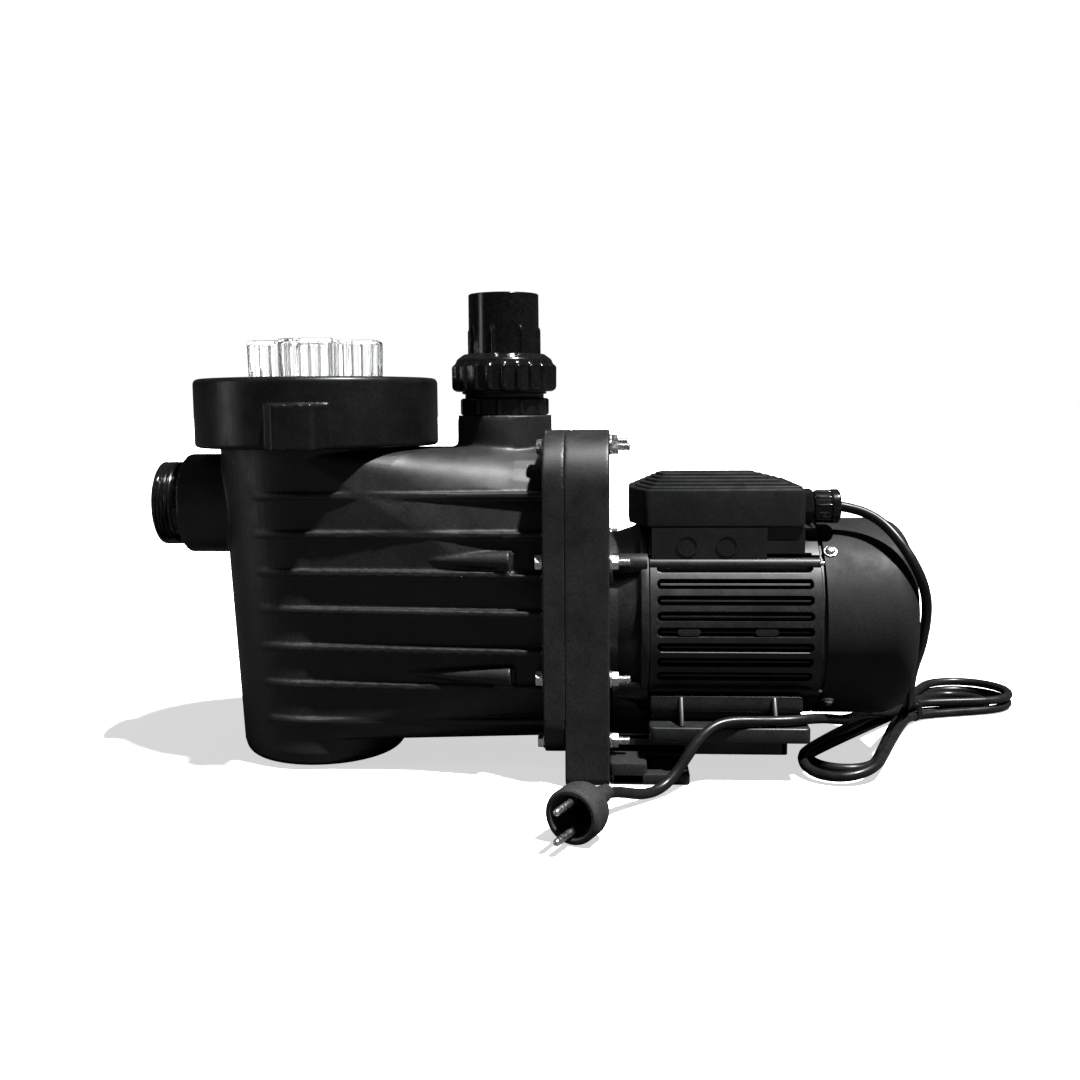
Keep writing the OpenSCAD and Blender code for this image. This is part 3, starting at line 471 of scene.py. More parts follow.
CORD_D = 0.0075
LEAD = [[234, -36, 198], [240, -36.1, 197.8], [251, -38, 195], [263, -45, 188], [273, -55, 176],
        [282, -63.5, 161], [290, -64.5, 145], [295, -57, 127], [298, -41, 107], [301, -20, 87],
        [303, 6, 66], [308, 34, 45], [314, 58, 27], [318, 78, 17]]
TAIL = [[306, 82, 9], [293, 64, 14], [279, 42, 20], [265, 16, 26], [251, -13, 30.5], [238, -37, 35.5],
        [225, -56, 42], [211, -70, 45.5], [196, -77, 45.5], [178, -78.5, 45.5], [160, -79, 45.5],
        [146, -82, 46.5], [133, -90, 41.5], [122, -97, 29], [113, -102, 16], [105, -108, 7],
        [97, -115, 4], [88, -124, 5], [78, -136, 10], [68, -149, 16], [59, -165, 18.7]]
WAIST = np.array([320.0, 98.0])
ACROSS = np.array([-0.755, 0.656])
ONWARD = np.array([0.656, 0.755])


def port(side, level, onward=0.0):
    """A point where a strand passes the tie: side is across the bundle, level its height."""
    return [*(WAIST + ACROSS * side + ONWARD * onward), level]


def lobe(centre, radius, start, sweep, level, drop=0.0, count=13):
    """Points round a loop's end, from an angle through a sweep in degrees."""
    out = []
    for k in range(count):
        a = math.radians(start + sweep * k / (count - 1))
        out.append([centre[0] + radius * math.cos(a), centre[1] + radius * math.sin(a),
                    level + drop * math.sin(math.pi * k / (count - 1))])
    return out


def cord_route():
    near, far = (234, -58), (388, 152)
    route = list(LEAD)
    # To the far side along the waist, round, and back; then the near loop, and so on
    route += [port(-3, 12, -4), port(-4, 12, 12)]
    route += lobe(far, 38, -62, 200, 12)
    route += [port(7.8, 12, 14), port(7.8, 12, -6)]
    route += lobe(near, 28, 152, 176, 11.5, -6)
    route += [port(-11, 6, -14), port(-11, 4, 6)]
    route += lobe(far, 37.5, -62, 200, 4)
    route += [port(7, 4, 14), port(6, 4, -6)]
    route += lobe((240, -34), 25, 152, 176, 4, 0)
    route += [port(-2.5, 4, -14), port(-1.5, 4, 6)]
    route += lobe((378, 144), 27, -62, 205, 4.2)
    route += [port(0.5, 12, 14), port(-0.5, 11, -4)]
    route += TAIL
    return np.array(route)


def smooth_line(points, step=3.0):
    """Points step apart on a Catmull-Rom curve through the given ones."""
    p = np.vstack([2 * points[0] - points[1], points, 2 * points[-1] - points[-2]])
    knots = np.concatenate([[0], np.cumsum(np.sqrt(np.linalg.norm(np.diff(p, axis=0), axis=1)))])
    out = []
    for i in range(1, len(p) - 2):
        t0, t1, t2, t3 = knots[i - 1:i + 3]
        for t in np.linspace(t1, t2, max(3, int(np.linalg.norm(p[i + 1] - p[i]) / step) + 1))[:-1]:
            a1 = (t1 - t) / (t1 - t0) * p[i - 1] + (t - t0) / (t1 - t0) * p[i]
            a2 = (t2 - t) / (t2 - t1) * p[i] + (t - t1) / (t2 - t1) * p[i + 1]
            a3 = (t3 - t) / (t3 - t2) * p[i + 1] + (t - t2) / (t3 - t2) * p[i + 2]
            b1 = (t2 - t) / (t2 - t0) * a1 + (t - t0) / (t2 - t0) * a2
            b2 = (t3 - t) / (t3 - t1) * a2 + (t - t1) / (t3 - t1) * a3
            out.append((t2 - t) / (t2 - t1) * b1 + (t - t1) / (t2 - t1) * b2)
    out.append(p[-2])
    return np.array(out)


def relaxed(line, passes):
    """Evens out the bends, with the ends held and nothing below the floor."""
    line = line.copy()
    for _ in range(passes):
        line[1:-1] += 0.35 * (line[:-2] + line[2:] - 2 * line[1:-1])
        line[:, 2] = np.maximum(line[:, 2], CORD_D / MM / 2 + 0.05)
    return line


def make_cord():
    line = relaxed(smooth_line(cord_route()), 14)
    length = np.linalg.norm(np.diff(line, axis=0), axis=1).sum() * MM
    curve = bpy.data.curves.new("supply_cord", "CURVE")
    curve.dimensions = "3D"
    curve.bevel_depth, curve.bevel_resolution, curve.use_fill_caps = CORD_D / 2, 4, True
    spline = curve.splines.new("POLY")
    spline.points.add(len(line) - 1)
    spline.points.foreach_set("co", np.hstack([line * MM, np.ones((len(line), 1))]).ravel())
    spline.use_smooth = True
    cord = bpy.data.objects.new("supply_cord", curve)
    scene.collection.objects.link(cord)
    curve.materials.append(FINISHES["cord_black"])
    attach(cord, "pump")
    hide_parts("cord_lead", "cord_hank", "cord_tail")
    return cord, length


supply_cord, cord_length = make_cord()


# ---- Pieces ----

def ribs(count, width, height, low, high, ease=1.0, phase=0.0, over=0.0):
    """A bump for turned(): count ribs of a width in degrees, between two heights, on radii above over."""
    def bump(a, r, h):
        turn = np.degrees(a) + phase
        pitch = 360 / count
        off = np.abs((turn + pitch / 2) % pitch - pitch / 2)
        side = np.clip((width / 2 - off) / (width / 2), 0, 1)
        round_side = np.sqrt(np.clip(1 - (1 - side) ** 2, 0, 1))
        up = np.clip((h - low) / ease, 0, 1) * np.clip((high - h) / ease, 0, 1)
        return height * round_side * np.sqrt(up) * (r > over)
    return bump


def thread(pitch, depth, low, high, over):
    """A bump for turned() that cuts a screw thread into the radii above over."""
    def bump(a, r, h):
        phase = (h / pitch - a / (2 * math.pi)) % 1
        flank = np.clip(np.abs(phase - 0.5) * 2 * 1.35 - 0.12, 0, 1)
        run = np.clip((h - low) / pitch, 0, 1) * np.clip((high - h) / pitch, 0, 1)
        return -depth * flank * (r > over) * run
    return bump


def fine(points, step):
    """The outline with points no further than step apart."""
    out = []
    for p, q in zip(points, points[1:] + points[:1]):
        n = max(1, int(math.dist(p, q) / step))
        out += [(p[0] + (q[0] - p[0]) * k / n, p[1] + (q[1] - p[1]) * k / n) for k in range(n)]
    return out


def hexagon_piece(name, flats, height, place, hole=0.0):
    """A hexagon nut or head with turned chamfers."""
    seg = 72
    a = np.linspace(0, 2 * math.pi, seg, endpoint=False)
    out = (flats / 2) / np.cos((a + math.pi / 6) % (math.pi / 3) - math.pi / 6)
    cap = flats / 2 * 0.985
    drop = np.maximum(out - cap, 0) * 0.55
    rows = []
    if hole:
        rows.append((np.minimum(out, cap), np.zeros(seg)))
        rows.append((out, drop))
    else:
        rows.append((out, np.zeros(seg)))
    rows.append((out, height - drop))
    rows.append((np.minimum(out, cap), np.full(seg, height)))
    if hole:
        rows.append((np.full(seg, hole + 0.5), np.full(seg, height)))
        rows.append((np.full(seg, hole), np.full(seg, height - 0.5)))
        rows.append((np.full(seg, hole), np.full(seg, 0.5)))
        rows.append((np.full(seg, hole + 0.5), np.zeros(seg)))
    rings = [[(r * math.cos(t), r * math.sin(t), z) for r, t, z in zip(rr, a, zz)] for rr, zz in rows]
    return stacked(name, rings, place, closed=bool(hole), angle=25)


def studded(name, r, low, high, place, pitch=1.0, thread_from=None, seg=24):
    """A round bar with a turned thread at its upper end and a small chamfer."""
    start = low if thread_from is None else thread_from
    heights = [low] + ([start] if start > low else [])
    heights += list(np.arange(start + pitch / 6, high - 0.6, pitch / 6)) + [high - 0.6, high]
    rows = [(0, low)] + [(r, h) for h in heights[:-1]] + [(r - 0.6, high), (0, high)]
    return turned(name, rows, seg, thread(pitch, 0.5, start, high - 0.5, r * 0.9), place, pole=True, angle=60)


def make_casing_fasteners():
    """Eight bolts, each with two washers and a nut, round the casing's flange."""
    heads, washers, nuts = [], [], []
    flats, washer_t = 10, 1.6
    ring = filleted([(3.1, 0, 0.2), (6, 0, 0.35), (6, washer_t, 0.5), (3.1, washer_t, 0.2)], 3)
    for y, z in BOLTS:
        turn = Matrix.Rotation(math.radians((y * 7 + z * 3) % 60), 4, "Z")
        outwards = turn @ Matrix.Rotation(math.pi, 4, "X")
        heads.append(hexagon_piece("head", flats, 4, along(FLANGE_X - washer_t, y, z) @ outwards))
        heads.append(studded("stud", 3, FLANGE_X - 2, COVER_BACK + 15, along(0, y, z),
                             thread_from=COVER_BACK - 2))
        for x in (FLANGE_X - washer_t, COVER_BACK):
            washers.append(turned("washer", ring, 48, None, along(x, y, z)))
        nuts.append(hexagon_piece("nut", flats, 5, along(COVER_BACK + washer_t, y, z) @ turn, hole=3.05))
    for name, parts in (("casing_bolt", heads), ("casing_washer", washers), ("casing_nut", nuts)):
        stands_for(finished(joined(name + "_set", parts), 30), "zinc", "zinc", name + "s")


def make_housing():
    """Pot and ribbed casing in one moulding."""
    body = moulding("pump_moulding", ["strainer_pot", "pump_casing"], 1.0, 2)

    def shoulder(x, y, z):
        """The casing's top, clear of the pot, the upper rib, the boss and the flange."""
        off_boss = np.clip((np.hypot(x - DISCHARGE_X, y) - 36) / 5, 0, 1)
        off_pot = np.clip((np.hypot(x - POT_X, y) - 99) / 5, 0, 1) * (x > POT_X)
        return np.clip((z - 215) / 5, 0, 1) * np.clip((-6 - x) / 6, 0, 1) * off_pot * off_boss
    evened(body, shoulder, 260)
    stands_for(body, "moulded_black", "moulded_black", "strainer_pot", "pump_casing")
    cover = moulding("rear_cover_moulding", ["rear_cover"], 1.2, 3)
    stands_for(cover, "moulded_black", "moulded_black", "rear_cover")


def make_lock_ring():
    ring = moulding("lock_ring_moulding", ["lock_ring"], 1.0, 4)
    stands_for(ring, "ring_black", "moulded_black", "lock_ring")


def make_unions():
    # Nut with rounded grips and a domed shoulder
    shell = filleted([(33.35, 285, 0.6), (38.4, 285, 1.6), (38.6, 304, 1.2), (36.6, 309.5, 4.5),
                      (31.2, 313.4, 1.6), (30.1, 313.4, 0.5), (30.1, 304.4, 0.4), (33.35, 304.4, 0.4)], 6)
    nut = turned("union_nut_shell", fine(shell, 1.1), 400, ribs(22, 6.4, 2.2, 285.6, 305.8, 2.6, 4, 37.2),
                 at(DISCHARGE_X, 0, 0), angle=60)
    stands_for(nut, "gloss_black", "gloss_black", "union_nut")
    # Tail with short ribs at its foot
    pipe = filleted([(22.5, 297.3, 0.5), (32, 297.3, 0.6), (32, 302.3, 0.8), (27.2, 302.3, 1.0),
                     (27, 359, 1.6), (25.1, 359, 0.8), (25.1, 328, 0.3), (22.5, 328, 0.5)], 5)
    tail = turned("union_tail_pipe", fine(pipe, 1.5), 360, ribs(8, 6.5, 2.3, 300, 334, 2.5, 12, 26.5),
                  at(DISCHARGE_X, 0, 0), angle=60)
    stands_for(tail, "gloss_black", "gloss_black", "union_tail")
    # Discharge insert: ribbed collar, neck and thread
    low, collar, seat = 252.7, 266.8, 294.8
    body = filleted([(25, low, 0.5), (29.9, low, 0.5), (29.9, collar, 0.2), (33.2, collar, 0.9),
                     (33.2, 279.8, 0.9), (30.5, 279.8, 0.4), (30.5, 282.8, 0.3), (32.85, 283.4, 0.3),
                     (32.85, seat, 0.4), (25, seat, 0.5)], 4)

    def shape(a, r, h):
        return ribs(12, 4.5, 1.4, collar + 0.4, 279.4, 0.8, 3, 32.5)(a, r, h) + \
            thread(2.9, 1.5, 283.6, seat, 32)(a, r, h)
    insert = turned("discharge_insert_body", fine(body, 0.6), 240, shape, at(DISCHARGE_X, 0, 0), angle=50)
    stands_for(insert, "gloss_black", "gloss_black", "discharge_insert")
    # Suction insert, built along +Z towards its open end
    body = filleted([(25.5, 0, 0.5), (29.9, 0, 0.5), (29.9, 15.4, 0.2), (31, 15.4, 0.4), (31, 22, 0.2),
                     (32.85, 22.3, 0.4), (32.85, 37, 0.7), (25.5, 37, 0.6)], 4)

    def spigot(a, r, h):
        return ribs(12, 3.6, 1.2, 15.5, 21.9, 0.5, 3, 30.5)(a, r, h) * (r < 32) + \
            thread(2.9, 1.6, 22, 37.2, 32)(a, r, h)
    place = Matrix.Translation((-253, 0, SUCTION_Z)) @ Matrix.Rotation(-math.pi / 2, 4, "Y")
    suction = turned("suction_insert_body", fine(body, 0.45), 240, spigot, place, angle=50)
    stands_for(suction, "gloss_black", "gloss_black", "suction_insert")


def knob_outline(inset, reach=50.5, half=21.5, corner=8.0, root=5.0):
    """Plan of the knob: four broad lobes with rounded corners and rounded roots."""
    r, h = reach - inset, half - inset
    corners = []
    for k in range(4):
        c, s = (1, 0, -1, 0)[k], (0, 1, 0, -1)[k]
        outer = corner - inset * 0.6
        for x, y, radius in ((r, -h, outer), (r, h, outer), (h, h, root + inset * 0.5)):
            corners.append((x * c - y * s, x * s + y * c, max(radius, 0.5)))
    return filleted(corners, 6)


def make_lid():
    """Clear lid: flange, dome and a hollow knob with upright ribs inside."""
    place = at(POT_X, 0, 0, 5)
    wall = 2.6
    floor_z, top = RING_TOP - 5, KNOB_TOP
    rings = []
    # Outer skin from the dome up with a rounded rim, then the top plate, then the inner skin down
    for z, grow in ((floor_z, 0.6), (RING_TOP - 1, 0.5), (top - 3.2, -0.1), (top - 2.4, -0.1),
                    (top - 0.9, 0.15), (top - 0.25, 0.75), (top, 1.6)):
        rings.append([(x, y, z) for x, y in knob_outline(grow)])
    for z in (top, top - wall):
        rings.append([(x * 0.6, y * 0.6, z) for x, y in knob_outline(2)])
    rings.append([(x, y, top - wall) for x, y in knob_outline(wall + 0.8)])
    rings.append([(x, y, top - wall - 0.8) for x, y in knob_outline(wall)])
    rings.append([(x, y, floor_z) for x, y in knob_outline(wall + 0.4)])
    skirt = stacked("skirt", rings, place, closed=True, angle=40)
    cap = prism("cap", [(x * 0.62, y * 0.62) for x, y in knob_outline(2)], top - wall, top - 0.02, 0.3, place)
    # Ribs on the inner wall, evenly along the outline
    line = np.array(knob_outline(wall - 0.15) + knob_outline(wall - 0.15)[:1])
    run = np.concatenate([[0], np.cumsum(np.linalg.norm(np.diff(line, axis=0), axis=1))])
    count = 48
    upright = [(0, floor_z + 0.5), (1.0, floor_z + 0.5), (1.0, top - 3.8), (0.7, top - 3.3), (0, top - 3.2)]
    uprights = []
    for k in range(count):
        d = run[-1] * (k + 0.5) / count
        x, y = np.interp(d, run, line[:, 0]), np.interp(d, run, line[:, 1])
        uprights.append(turned("rib", upright, 10, None, place @ Matrix.Translation((x, y, 0)),
                               pole=True, angle=80))
    # The dome's upper and lower face, and the flange under it with its seal groove
    over, under, flange_z, groove_z = RING_TOP - 1.1, RING_TOP - 6.2, 266.6, 268.9
    dome = filleted([(20, under, 0.5), (64, under, 4), (64, flange_z, 0.4), (76, flange_z, 0.3),
                     (76, groove_z, 0.2), (81, groove_z, 0.2), (81, flange_z, 0.2), (82, flange_z, 0.3),
                     (82, 277.5, 1.2), (69, 277.5, 2), (69, over, 1.5), (20, over, 0.5)], 4)
    plate = turned("plate", dome, 128, None, place)
    middle = [(0, over - 0.02), (21, over - 0.02), (21, under + 0.02), (0, under + 0.02)]
    disc = turned("disc", middle, 64, None, place, pole=True)
    lid = joined("clear_lid", [skirt, cap, plate, disc] + uprights)
    stands_for(finished(lid, 40), "clear_plastic", "clear_plastic", "strainer_lid")


def frame_radius(a, x):
    """Radius of the motor frame round its axis: pockets between broad bands, each with a thin fin inside."""
    y, z = -np.cos(a), np.sin(a)
    outer, floor_r, fin_r = 75.6, 66.5, 74.4
    pitch = 11.4
    start, end = FRAME_X + 5.5, FRAME_BACK - 6.5
    r = np.full(np.broadcast(a, x).shape, outer)
    for level in (z, y):
        inside = np.abs(level * outer) < (48.5 if level is z else 40)
        mine = inside & ((np.abs(z) < 0.72) if level is z else (np.abs(z) >= 0.72))
        k = np.round(level * outer / pitch)
        off = np.abs(level * outer - k * pitch)
        half_open = 3.45
        # Pocket with rounded ends
        end_in = np.minimum(x - start, end - x)
        rounded = np.where(end_in < half_open, np.hypot(off, half_open - end_in), off)
        depth = np.clip((half_open - rounded) / 0.9, 0, 1)
        depth = depth * depth * (3 - 2 * depth)
        fin = np.clip((1.35 - off) / 0.55, 0, 1) * np.clip((end_in - 1.5) / 1.2, 0, 1)
        fin = fin * fin * (3 - 2 * fin)
        value = outer - (outer - floor_r) * depth
        value = np.maximum(value, floor_r + (fin_r - floor_r) * fin * (depth > 0))
        r = np.where(mine, value, r)
    # Oval bosses on the middle fin
    for bx in BOSSES:
        d = np.hypot(np.maximum(np.abs(x - bx) - 5.5, 0), z * outer)
        boss = np.clip((3.6 - d) / 0.8, 0, 1)
        boss = floor_r + (75.2 - floor_r) * boss * boss * (3 - 2 * boss)
        r = np.where(np.abs(y) > 0.9, np.maximum(r, boss), r)
    # Channels of the tie rods
    d0, rho = math.hypot(TIE_Y, TIE_Z), 4.8
    tilt = math.atan2(TIE_Z, TIE_Y)
    delta = np.abs(np.arctan2(np.abs(z), np.abs(y)) - tilt)
    near = np.sin(delta) * d0 < rho
    bar = d0 * np.cos(delta) + np.sqrt(np.clip(rho ** 2 - (d0 * np.sin(delta)) ** 2, 0, None))
    moat = np.sin(np.clip(delta, 0, 0.3)) * d0 < rho + 2.2
    r = np.where(moat & (x > start) & (x < end), np.minimum(r, 70.5), r)
    r = np.where(near, np.maximum(np.minimum(r, 70.5), bar), r)
    # Level top under the terminal box
    top = (180 - AXIS_Z) / np.maximum(z, 1e-3)
    return np.where(z > 0.5, np.minimum(r, top), r)


def make_motor_frame():
    """Finned barrel of the motor with its foot plate and the webs between them."""
    seg = 900
    a = np.linspace(0, 2 * math.pi, seg, endpoint=False)
    # Stations along the frame, close together where its pockets end and round the bosses
    stations = np.concatenate([
        [FRAME_X, FRAME_X + 0.6], np.arange(FRAME_X + 1, FRAME_X + 14, 0.45),
        np.arange(FRAME_X + 14, FRAME_BACK - 16, 3.2), *[np.arange(bx - 10, bx + 10, 0.5) for bx in BOSSES],
        np.arange(FRAME_BACK - 16, FRAME_BACK - 1, 0.45), [FRAME_BACK - 0.6, FRAME_BACK]])
    xs = sorted(set(np.round(stations, 3)))
    rings = []
    for x in xs:
        r = frame_radius(a, np.full(seg, x))
        edge = min(x - FRAME_X, FRAME_BACK - x)
        if edge < 0.5:
            r = r - 0.6
        rings.append(np.stack([np.full(seg, x), -r * np.cos(a), AXIS_Z + r * np.sin(a)], 1))
    bore_r = 61
    for x in (FRAME_BACK, FRAME_X):
        rings.append(np.stack([np.full(seg, x), -bore_r * np.cos(a), AXIS_Z + bore_r * np.sin(a)], 1))
    barrel = stacked("barrel", rings, None, closed=True, angle=50)
    parts = [barrel]
    parts.append(block("plate", FRAME_X, FRAME_X + 116, -82, 82, 29.6, 41, 1.4, 4))
    parts.append(block("upper", FRAME_X + 0.5, FRAME_X + 112.5, -66, 66, 48.6, 60.6, 1.0, 2))
    parts.append(block("lower", FRAME_X + 2, FRAME_X + 111, -60, 60, 38, 50, 0.5, 2))
    for side in (-1, 1):
        for x in (FRAME_X + 22, FRAME_X + 90):
            web = filleted([(60, 40, 0.2), (80, 40, 0.5), (80, 42, 0.5), (66.8, 60, 0.5), (60, 60.4, 0.2)], 2)
            upright = Matrix(((0, 0, 1, 0), (side, 0, 0, 0), (0, 1, 0, 0), (0, 0, 0, 1)))
            parts.append(prism("web", web, 0, 3, 0.4, Matrix.Translation((x, 0, 0)) @ upright, 2))
    frame_piece = joined("motor_frame_casting", parts)
    stands_for(finished(frame_piece, 50), "motor_black", "motor_black", "motor_frame")


def make_front_endshield():
    """Bell between the casing and the motor frame, with a lug and an ear at each tie rod."""
    bell = filleted([(10.6, 68, 0.3), (30, 66, 3), (62, 49, 1), (64.8, 49, 1.2), (65.2, 70, 6), (70, 84, 5),
                     (75.4, 87.2, 1.2), (76, 92.9, 0.8), (61.2, 92.9, 0.3), (58, 86, 3), (56, 74, 4),
                     (28.5, 74, 2), (28.5, 86, 0.6), (23.55, 86, 0.3), (23.55, 68, 0.2)], 4)
    lug = [(0, 66), (7.2, 66), (7.9, 67), (7.9, 92), (0, 92)]
    parts = [turned("bell", fine(bell, 3), 160, None, along(0), angle=40)]
    for sy in (-1, 1):
        for sz in (-1, 1):
            z = AXIS_Z + sz * TIE_Z
            parts.append(turned("lug", lug, 32, None, along(0, sy * TIE_Y, z), pole=True))
            y0, y1 = sorted((sy * 34, sy * 52))
            z0, z1 = sorted((z - sz * 14, z + sz * 5))
            parts.append(block("ear", 70, 91.5, y0, y1, z0, z1, 1.5))
    shield = joined("front_endshield_casting", parts)
    stands_for(finished(shield, 40), "motor_black", "motor_black", "front_endshield")


def box_ring(z, inset, corner=5.0, x0=90, x1=207, half=57, bow=11, bow_y=22):
    """Plan of the terminal box at a height, with its pump end bowed out."""
    x0, x1, half = x0 + inset, x1 - inset, half - inset
    c = max(corner - inset * 0.3, 0.4)
    flat = filleted([(x0, -half, c), (x1, -half, c), (x1, half, c), (x0, half, c),
                     (x0 - bow, bow_y, 4), (x0 - bow, -bow_y, 4)], 4)
    return [(x, y, z) for x, y in flat]


def make_terminal_lid():
    """Lid of the terminal box: a bowed skirt under a roof of five steps."""
    rim, eaves, ceiling, middle_x = 185.1, 212.4, 209, 150
    outer = [box_ring(z, inset) for z, inset in (
        (rim, 0.6), (rim + 0.5, 0.1), (186.4, 0), (209.6, 0),
        (eaves - 1, 0.5), (eaves - 0.2, 1.5), (eaves, 2.4))]
    # Each ridge of the roof has a short riser and a slightly sloping tread
    for k in range(5):
        low, high = eaves + 2 * k - (0.2 if k else 0), eaves + 1.6 + 2 * k
        plan = (3, 92.6 + 3 * k, 205 - 7 * k, 54.4 - 9 * k, 9 - k, max(20 - 4 * k, 4))
        for z, inset in ((low, 0.0), (high - 0.5, 0.25), (high, 0.9), (high + 0.15, 3.2)):
            outer.append(box_ring(z, inset, *plan))
    inner = [box_ring(ceiling, 3.2, 4), box_ring(rim, 3.0, 4)]
    last = outer[-1]

    def shrunk(ring, share):
        return [(middle_x + (x - middle_x) * share, y * share) for x, y, z in ring]
    top = last[0][2]
    middle = [(x, y, top) for x, y in shrunk(last, 0.1)]
    roof_in = [(x, y, ceiling) for x, y in shrunk(inner[0], 0.1)]
    shell = stacked("shell", outer + [middle, roof_in] + inner, None, closed=True, angle=30)
    plug = prism("roof_middle", shrunk(last, 0.11), ceiling + 0.05, top - 0.02, 0.1)
    lid = joined("terminal_box_cover", [shell, plug])
    stands_for(finished(lid, 30), "box_black", "gloss_black", "terminal_box_lid")


def make_gland():
    """Gland of the cord: its body in the wall of the terminal box, and the nut on it."""
    y, z = -36, 198
    hexagon = hexagon_piece("hex", 23.5, 7, along(207.05, y, z) @ Matrix.Rotation(0.2, 4, "Z"), hole=5.3)
    tube = filleted([(5.3, 198, 0.3), (7.9, 198, 0.3), (7.9, 208, 0.2), (9.4, 213, 0.2), (9.4, 222, 0.3),
                     (5.3, 222, 0.3)], 2)
    body = joined("cord_gland_body", [hexagon, turned("neck", tube, 64, None, along(0, y, z))])
    stands_for(finished(body, 30), "gloss_black", "gloss_black", "gland_body")
    cap = filleted([(9.65, 215, 0.4), (11.4, 215, 0.8), (11.7, 227, 0.6), (12.75, 227.9, 0.7),
                    (12.75, 232.6, 1.0), (11, 234, 1.2), (4.4, 234, 0.8), (4.4, 229.6, 0.2),
                    (9.65, 229.6, 0.4)], 4)
    grips = ribs(12, 9, 0.85, 216, 227.5, 1.2, 8, 11.2)
    nut = turned("cord_gland_nut", fine(cap, 0.9), 240, grips, along(0, y, z), angle=50)
    stands_for(nut, "gloss_black", "gloss_black", "gland_nut")


def make_screws():
    """Pan-head screws with a cross recess and a washer, round the fan cover."""
    dish = [(0, 2.5), (1.6, 2.45), (2.9, 2.0), (3.6, 1.2), (3.8, 0.3), (3.6, 0), (0, 0)]

    def pan(place):
        head = turned("head", dish, 32, None, place, pole=True, angle=50)
        cross = [prism("slot", [(-2.2, -0.42), (2.2, -0.42), (2.2, 0.42), (-2.2, 0.42)], 1.2, 3.4, 0.05,
                       place @ Matrix.Rotation(t, 4, "Z"), 2) for t in (0.3, 0.3 + math.pi / 2)]
        cut(head, *cross)
        shank = studded("shank", 1.95, -12, 0.2, place, 1.2, seg=14)
        return [head, shank]
    ring = filleted([(2, 0, 0.2), (5, 0, 0.3), (5, 0.95, 0.35), (2, 0.95, 0.2)], 3)
    outwards = Matrix.Rotation(math.pi / 2, 4, "Y")
    cover = []
    for turn in (42.5, -42.5, 222.5, 137.5):
        around = along(FRAME_BACK + 7.5, 0, AXIS_Z) @ Matrix.Rotation(math.radians(turn), 4, "Z") @ outwards
        cover += pan(around @ Matrix.Translation((0, 0, 76.6)))
        cover.append(turned("washer", ring, 40, None, around @ Matrix.Translation((0, 0, 75.68))))
    stands_for(finished(joined("fan_cover_screw_set", cover), 35), "zinc", "zinc", "fan_cover_screws")


def make_base():
    """Foot plate across the pump, and the hollow beam that carries the motor."""
    front, beam_end, half_plate, half_beam = 64, 196, 88, 58
    plate = block("plate", front, 122, -half_plate, half_plate, 0.05, 8, 1.0, 3)
    hole = [(0, -2), (4.5, -2), (4.5, 10), (0, 10)]
    cut(plate, *[turned("hole", hole, 48, None, at(106, side * 75, 0), pole=True) for side in (-1, 1)])
    parts = [plate, block("riser", front + 0.05, 91, -half_plate, half_plate, 0.1, 16, 1.5, 3),
             block("ledge", front + 0.1, 121.5, -half_beam, half_beam, 12, 22, 1.0, 2),
             block("top", front + 0.1, beam_end, -half_beam, half_beam, 25, 29.5, 0.8, 4),
             block("end", beam_end - 6, beam_end, -half_beam, half_beam, 14, 29, 0.8, 2)]
    for side in (-1, 1):
        y0, y1 = sorted((side * 51.8, side * half_beam))
        parts.append(block("wall", front + 0.1, beam_end, y0, y1, 14, 29.3, 0.8, 2))
        y0, y1 = sorted((side * 14, side * 18))
        parts.append(block("web", front + 0.1, beam_end - 2, y0, y1, 14.5, 29, 0.5))
        pipe = [(0, 64.2), (7, 64.2), (7, 123), (6.2, 124), (0, 124)]
        parts.append(turned("pipe", pipe, 48, None, along(0, side * 50, 22), pole=True))
    base = joined("motor_base_moulding", parts)
    stands_for(finished(base, 35), "moulded_black", "moulded_black", "motor_base")


def make_tie():
    """Strap round the waist of the hank, with its small head."""
    half_w, half_h, thick = 15.2, 8.4, 1.5
    top = 2 * half_h + 0.9
    outer = np.array(filleted([(-half_w, 0.3, 5), (half_w, 0.3, 5), (half_w, top, 6), (-half_w, top, 6)], 6))
    inner, edge = inset_outline(outer, thick), inset_outline(outer, 0.5)
    x, y, turn = *WAIST, 49
    place = at(x, y, 0, turn)
    rings = [[(along_cord, p, q) for p, q in line] for along_cord, line in (
        (-2.6, inner), (-3.1, edge), (-2.6, outer), (2.6, outer), (3.1, edge), (2.6, inner))]
    strap = stacked("strap", rings, place, closed=True, angle=50)
    head = block("head", -4.2, 4.2, -4, 4, 16.4, 18, 0.6)
    head.data.transform(at(x * MM, y * MM, 0, turn))
    tie = joined("cord_strap", [strap, head])
    stands_for(finished(tie, 45), "gloss_black", "gloss_black", "cord_tie")


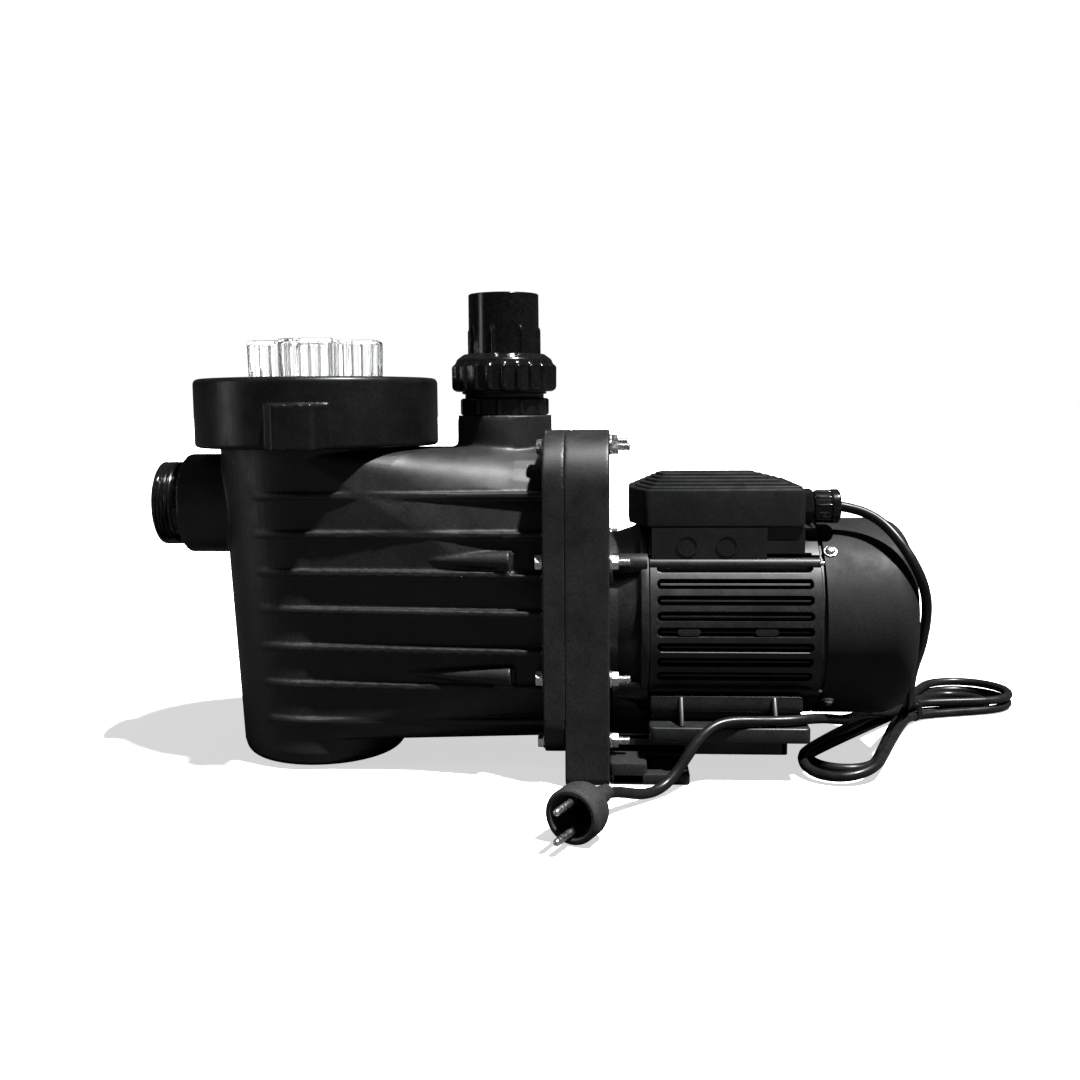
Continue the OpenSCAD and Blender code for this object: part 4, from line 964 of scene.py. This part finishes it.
def make_plug():
    """Round plug with a tapered, ribbed relief, a grip body and two pins."""
    place = at(62, -158, 18.7, 246) @ Matrix.Rotation(math.pi / 2, 4, "Y")

    def relief(a, r, h):
        rings_cut = -0.9 * (np.cos(h * 2 * math.pi / 3.6) > 0.35) * (h > 1.5) * (h < 22) * (r < 9) * (r > 1)
        off = np.abs(np.abs(np.sin(a)) - 1)
        grip = -1.6 * np.clip(1 - off / 0.18, 0, 1) * np.clip(1 - np.abs(h - 44) / 8, 0, 1) * (r > 15)
        return rings_cut + grip
    outline = [(0, 0), (5.2, 0)] + [(5.2 + 2.8 * k / 40, 24 * k / 40) for k in range(1, 41)]
    outline += filleted([(8.2, 24.5, 0), (9.4, 25, 1), (17.2, 34, 3), (18.3, 38, 2), (18.3, 53.2, 1.6),
                         (16.6, 54.8, 0.8), (14.6, 54.8, 0.2), (14.2, 54, 0.2), (0, 54, 0)], 4)[:-1]
    body = turned("plug_grip", fine(outline, 0.7) + [(0, 54)], 160, relief, place, pole=True, angle=50)
    stands_for(body, "rubber", "cord_black", "plug_body")
    pin = [(0, 48), (2.4, 48), (2.4, 73.4), (2.1, 74.6), (1.3, 75.6), (0, 76)]
    pins = [turned("pin", pin, 32, None, place @ Matrix.Translation((side * 9.5, 0, 0)), pole=True, angle=60)
            for side in (-1, 1)]
    pins = joined("plug_pin_pair", pins)
    stands_for(finished(pins, 50), "zinc", "zinc", "plug_pins")
    return body, pins


make_casing_fasteners()
make_housing()
make_lock_ring()
make_unions()
make_lid()
make_motor_frame()
make_front_endshield()
make_terminal_lid()
make_gland()
make_screws()
make_base()
make_tie()
plug_grip, plug_pins = make_plug()

# CAD nodes that keep their own mesh take the finish of their slot
LOOKS = {s["node"]: s["material_slot"] for s in frame["record"]["subparts"]}
OWN_FINISH = {"fan_cover": "fan_black", "terminal_box_base": "box_black"}
for name, node in nodes.items():
    if not node.hide_render:
        finish_as(node, OWN_FINISH.get(name, LOOKS[name]))


# ---- Floor and light ----

def clear_view(tree):
    """1 or more for what the camera sees directly or through the clear lid, and 0 for other light."""
    path = tree.nodes.new("ShaderNodeLightPath")
    either = tree.nodes.new("ShaderNodeMath")
    either.operation = "ADD"
    tree.links.new(path.outputs["Is Camera Ray"], either.inputs[0])
    tree.links.new(path.outputs["Transmission Depth"], either.inputs[1])
    return either.outputs[0]


def make_stage():
    """A pale floor and a white surround. Both are dimmer for light that bounces than for the camera."""
    floor_finish = Finish("floor", Roughness=0.7)
    seen = floor_finish.between(floor_finish.noise(3, 3), (0.86, 0.86, 0.86), (0.89, 0.89, 0.89))
    direct = clear_view(floor_finish.tree)
    floor_finish.colour(floor_finish.mix(direct, (0.012, 0.012, 0.012, 1), seen))
    glow = floor_finish.span(direct, 0, 1, 0, 0.62)
    floor_finish.tree.links.new(glow, floor_finish.shader.inputs["Emission Strength"])
    floor_finish.shader.inputs["Emission Color"].default_value = (1, 1, 1, 1)
    mesh = bpy.data.meshes.new("floor")
    reach, level = 30, -0.0002
    corners = ((-reach, -reach), (reach, -reach), (reach, reach), (-reach, reach))
    mesh.from_pydata([(x, y, level) for x, y in corners], [], [(0, 1, 2, 3)])
    floor = bpy.data.objects.new("floor", mesh)
    scene.collection.objects.link(floor)
    mesh.materials.append(floor_finish.material)
    world = bpy.data.worlds.new("world")
    scene.world = world
    world.use_nodes = True
    tree = world.node_tree
    back = tree.nodes["Background"]
    back.inputs["Color"].default_value = (1, 1, 1, 1)
    strength = tree.nodes.new("ShaderNodeMapRange")
    strength.inputs["To Min"].default_value, strength.inputs["To Max"].default_value = 0.035, 1.0
    tree.links.new(clear_view(tree), strength.inputs["Value"])
    tree.links.new(strength.outputs[0], back.inputs["Strength"])

    def light(name, kind, energy, place, target, size=None, angle=None):
        data = bpy.data.lights.new(name, kind)
        data.energy = energy
        if size:
            data.shape, data.size, data.size_y = "RECTANGLE", *size
        if angle:
            data.angle = math.radians(angle)
        obj = bpy.data.objects.new(name, data)
        scene.collection.objects.link(obj)
        obj.location = place
        obj.rotation_euler = (Vector(target) - Vector(place)).to_track_quat("-Z", "Y").to_euler()
    light("key", "SUN", 13.0, (0.36, -0.23, 1.0), (0, 0, 0), angle=3)
    light("left", "AREA", 1.7, (-1.3, -0.35, 0.35), (-0.16, 0, 0.12), size=(0.2, 0.7))
    scene.view_settings.view_transform = "Standard"


make_stage()
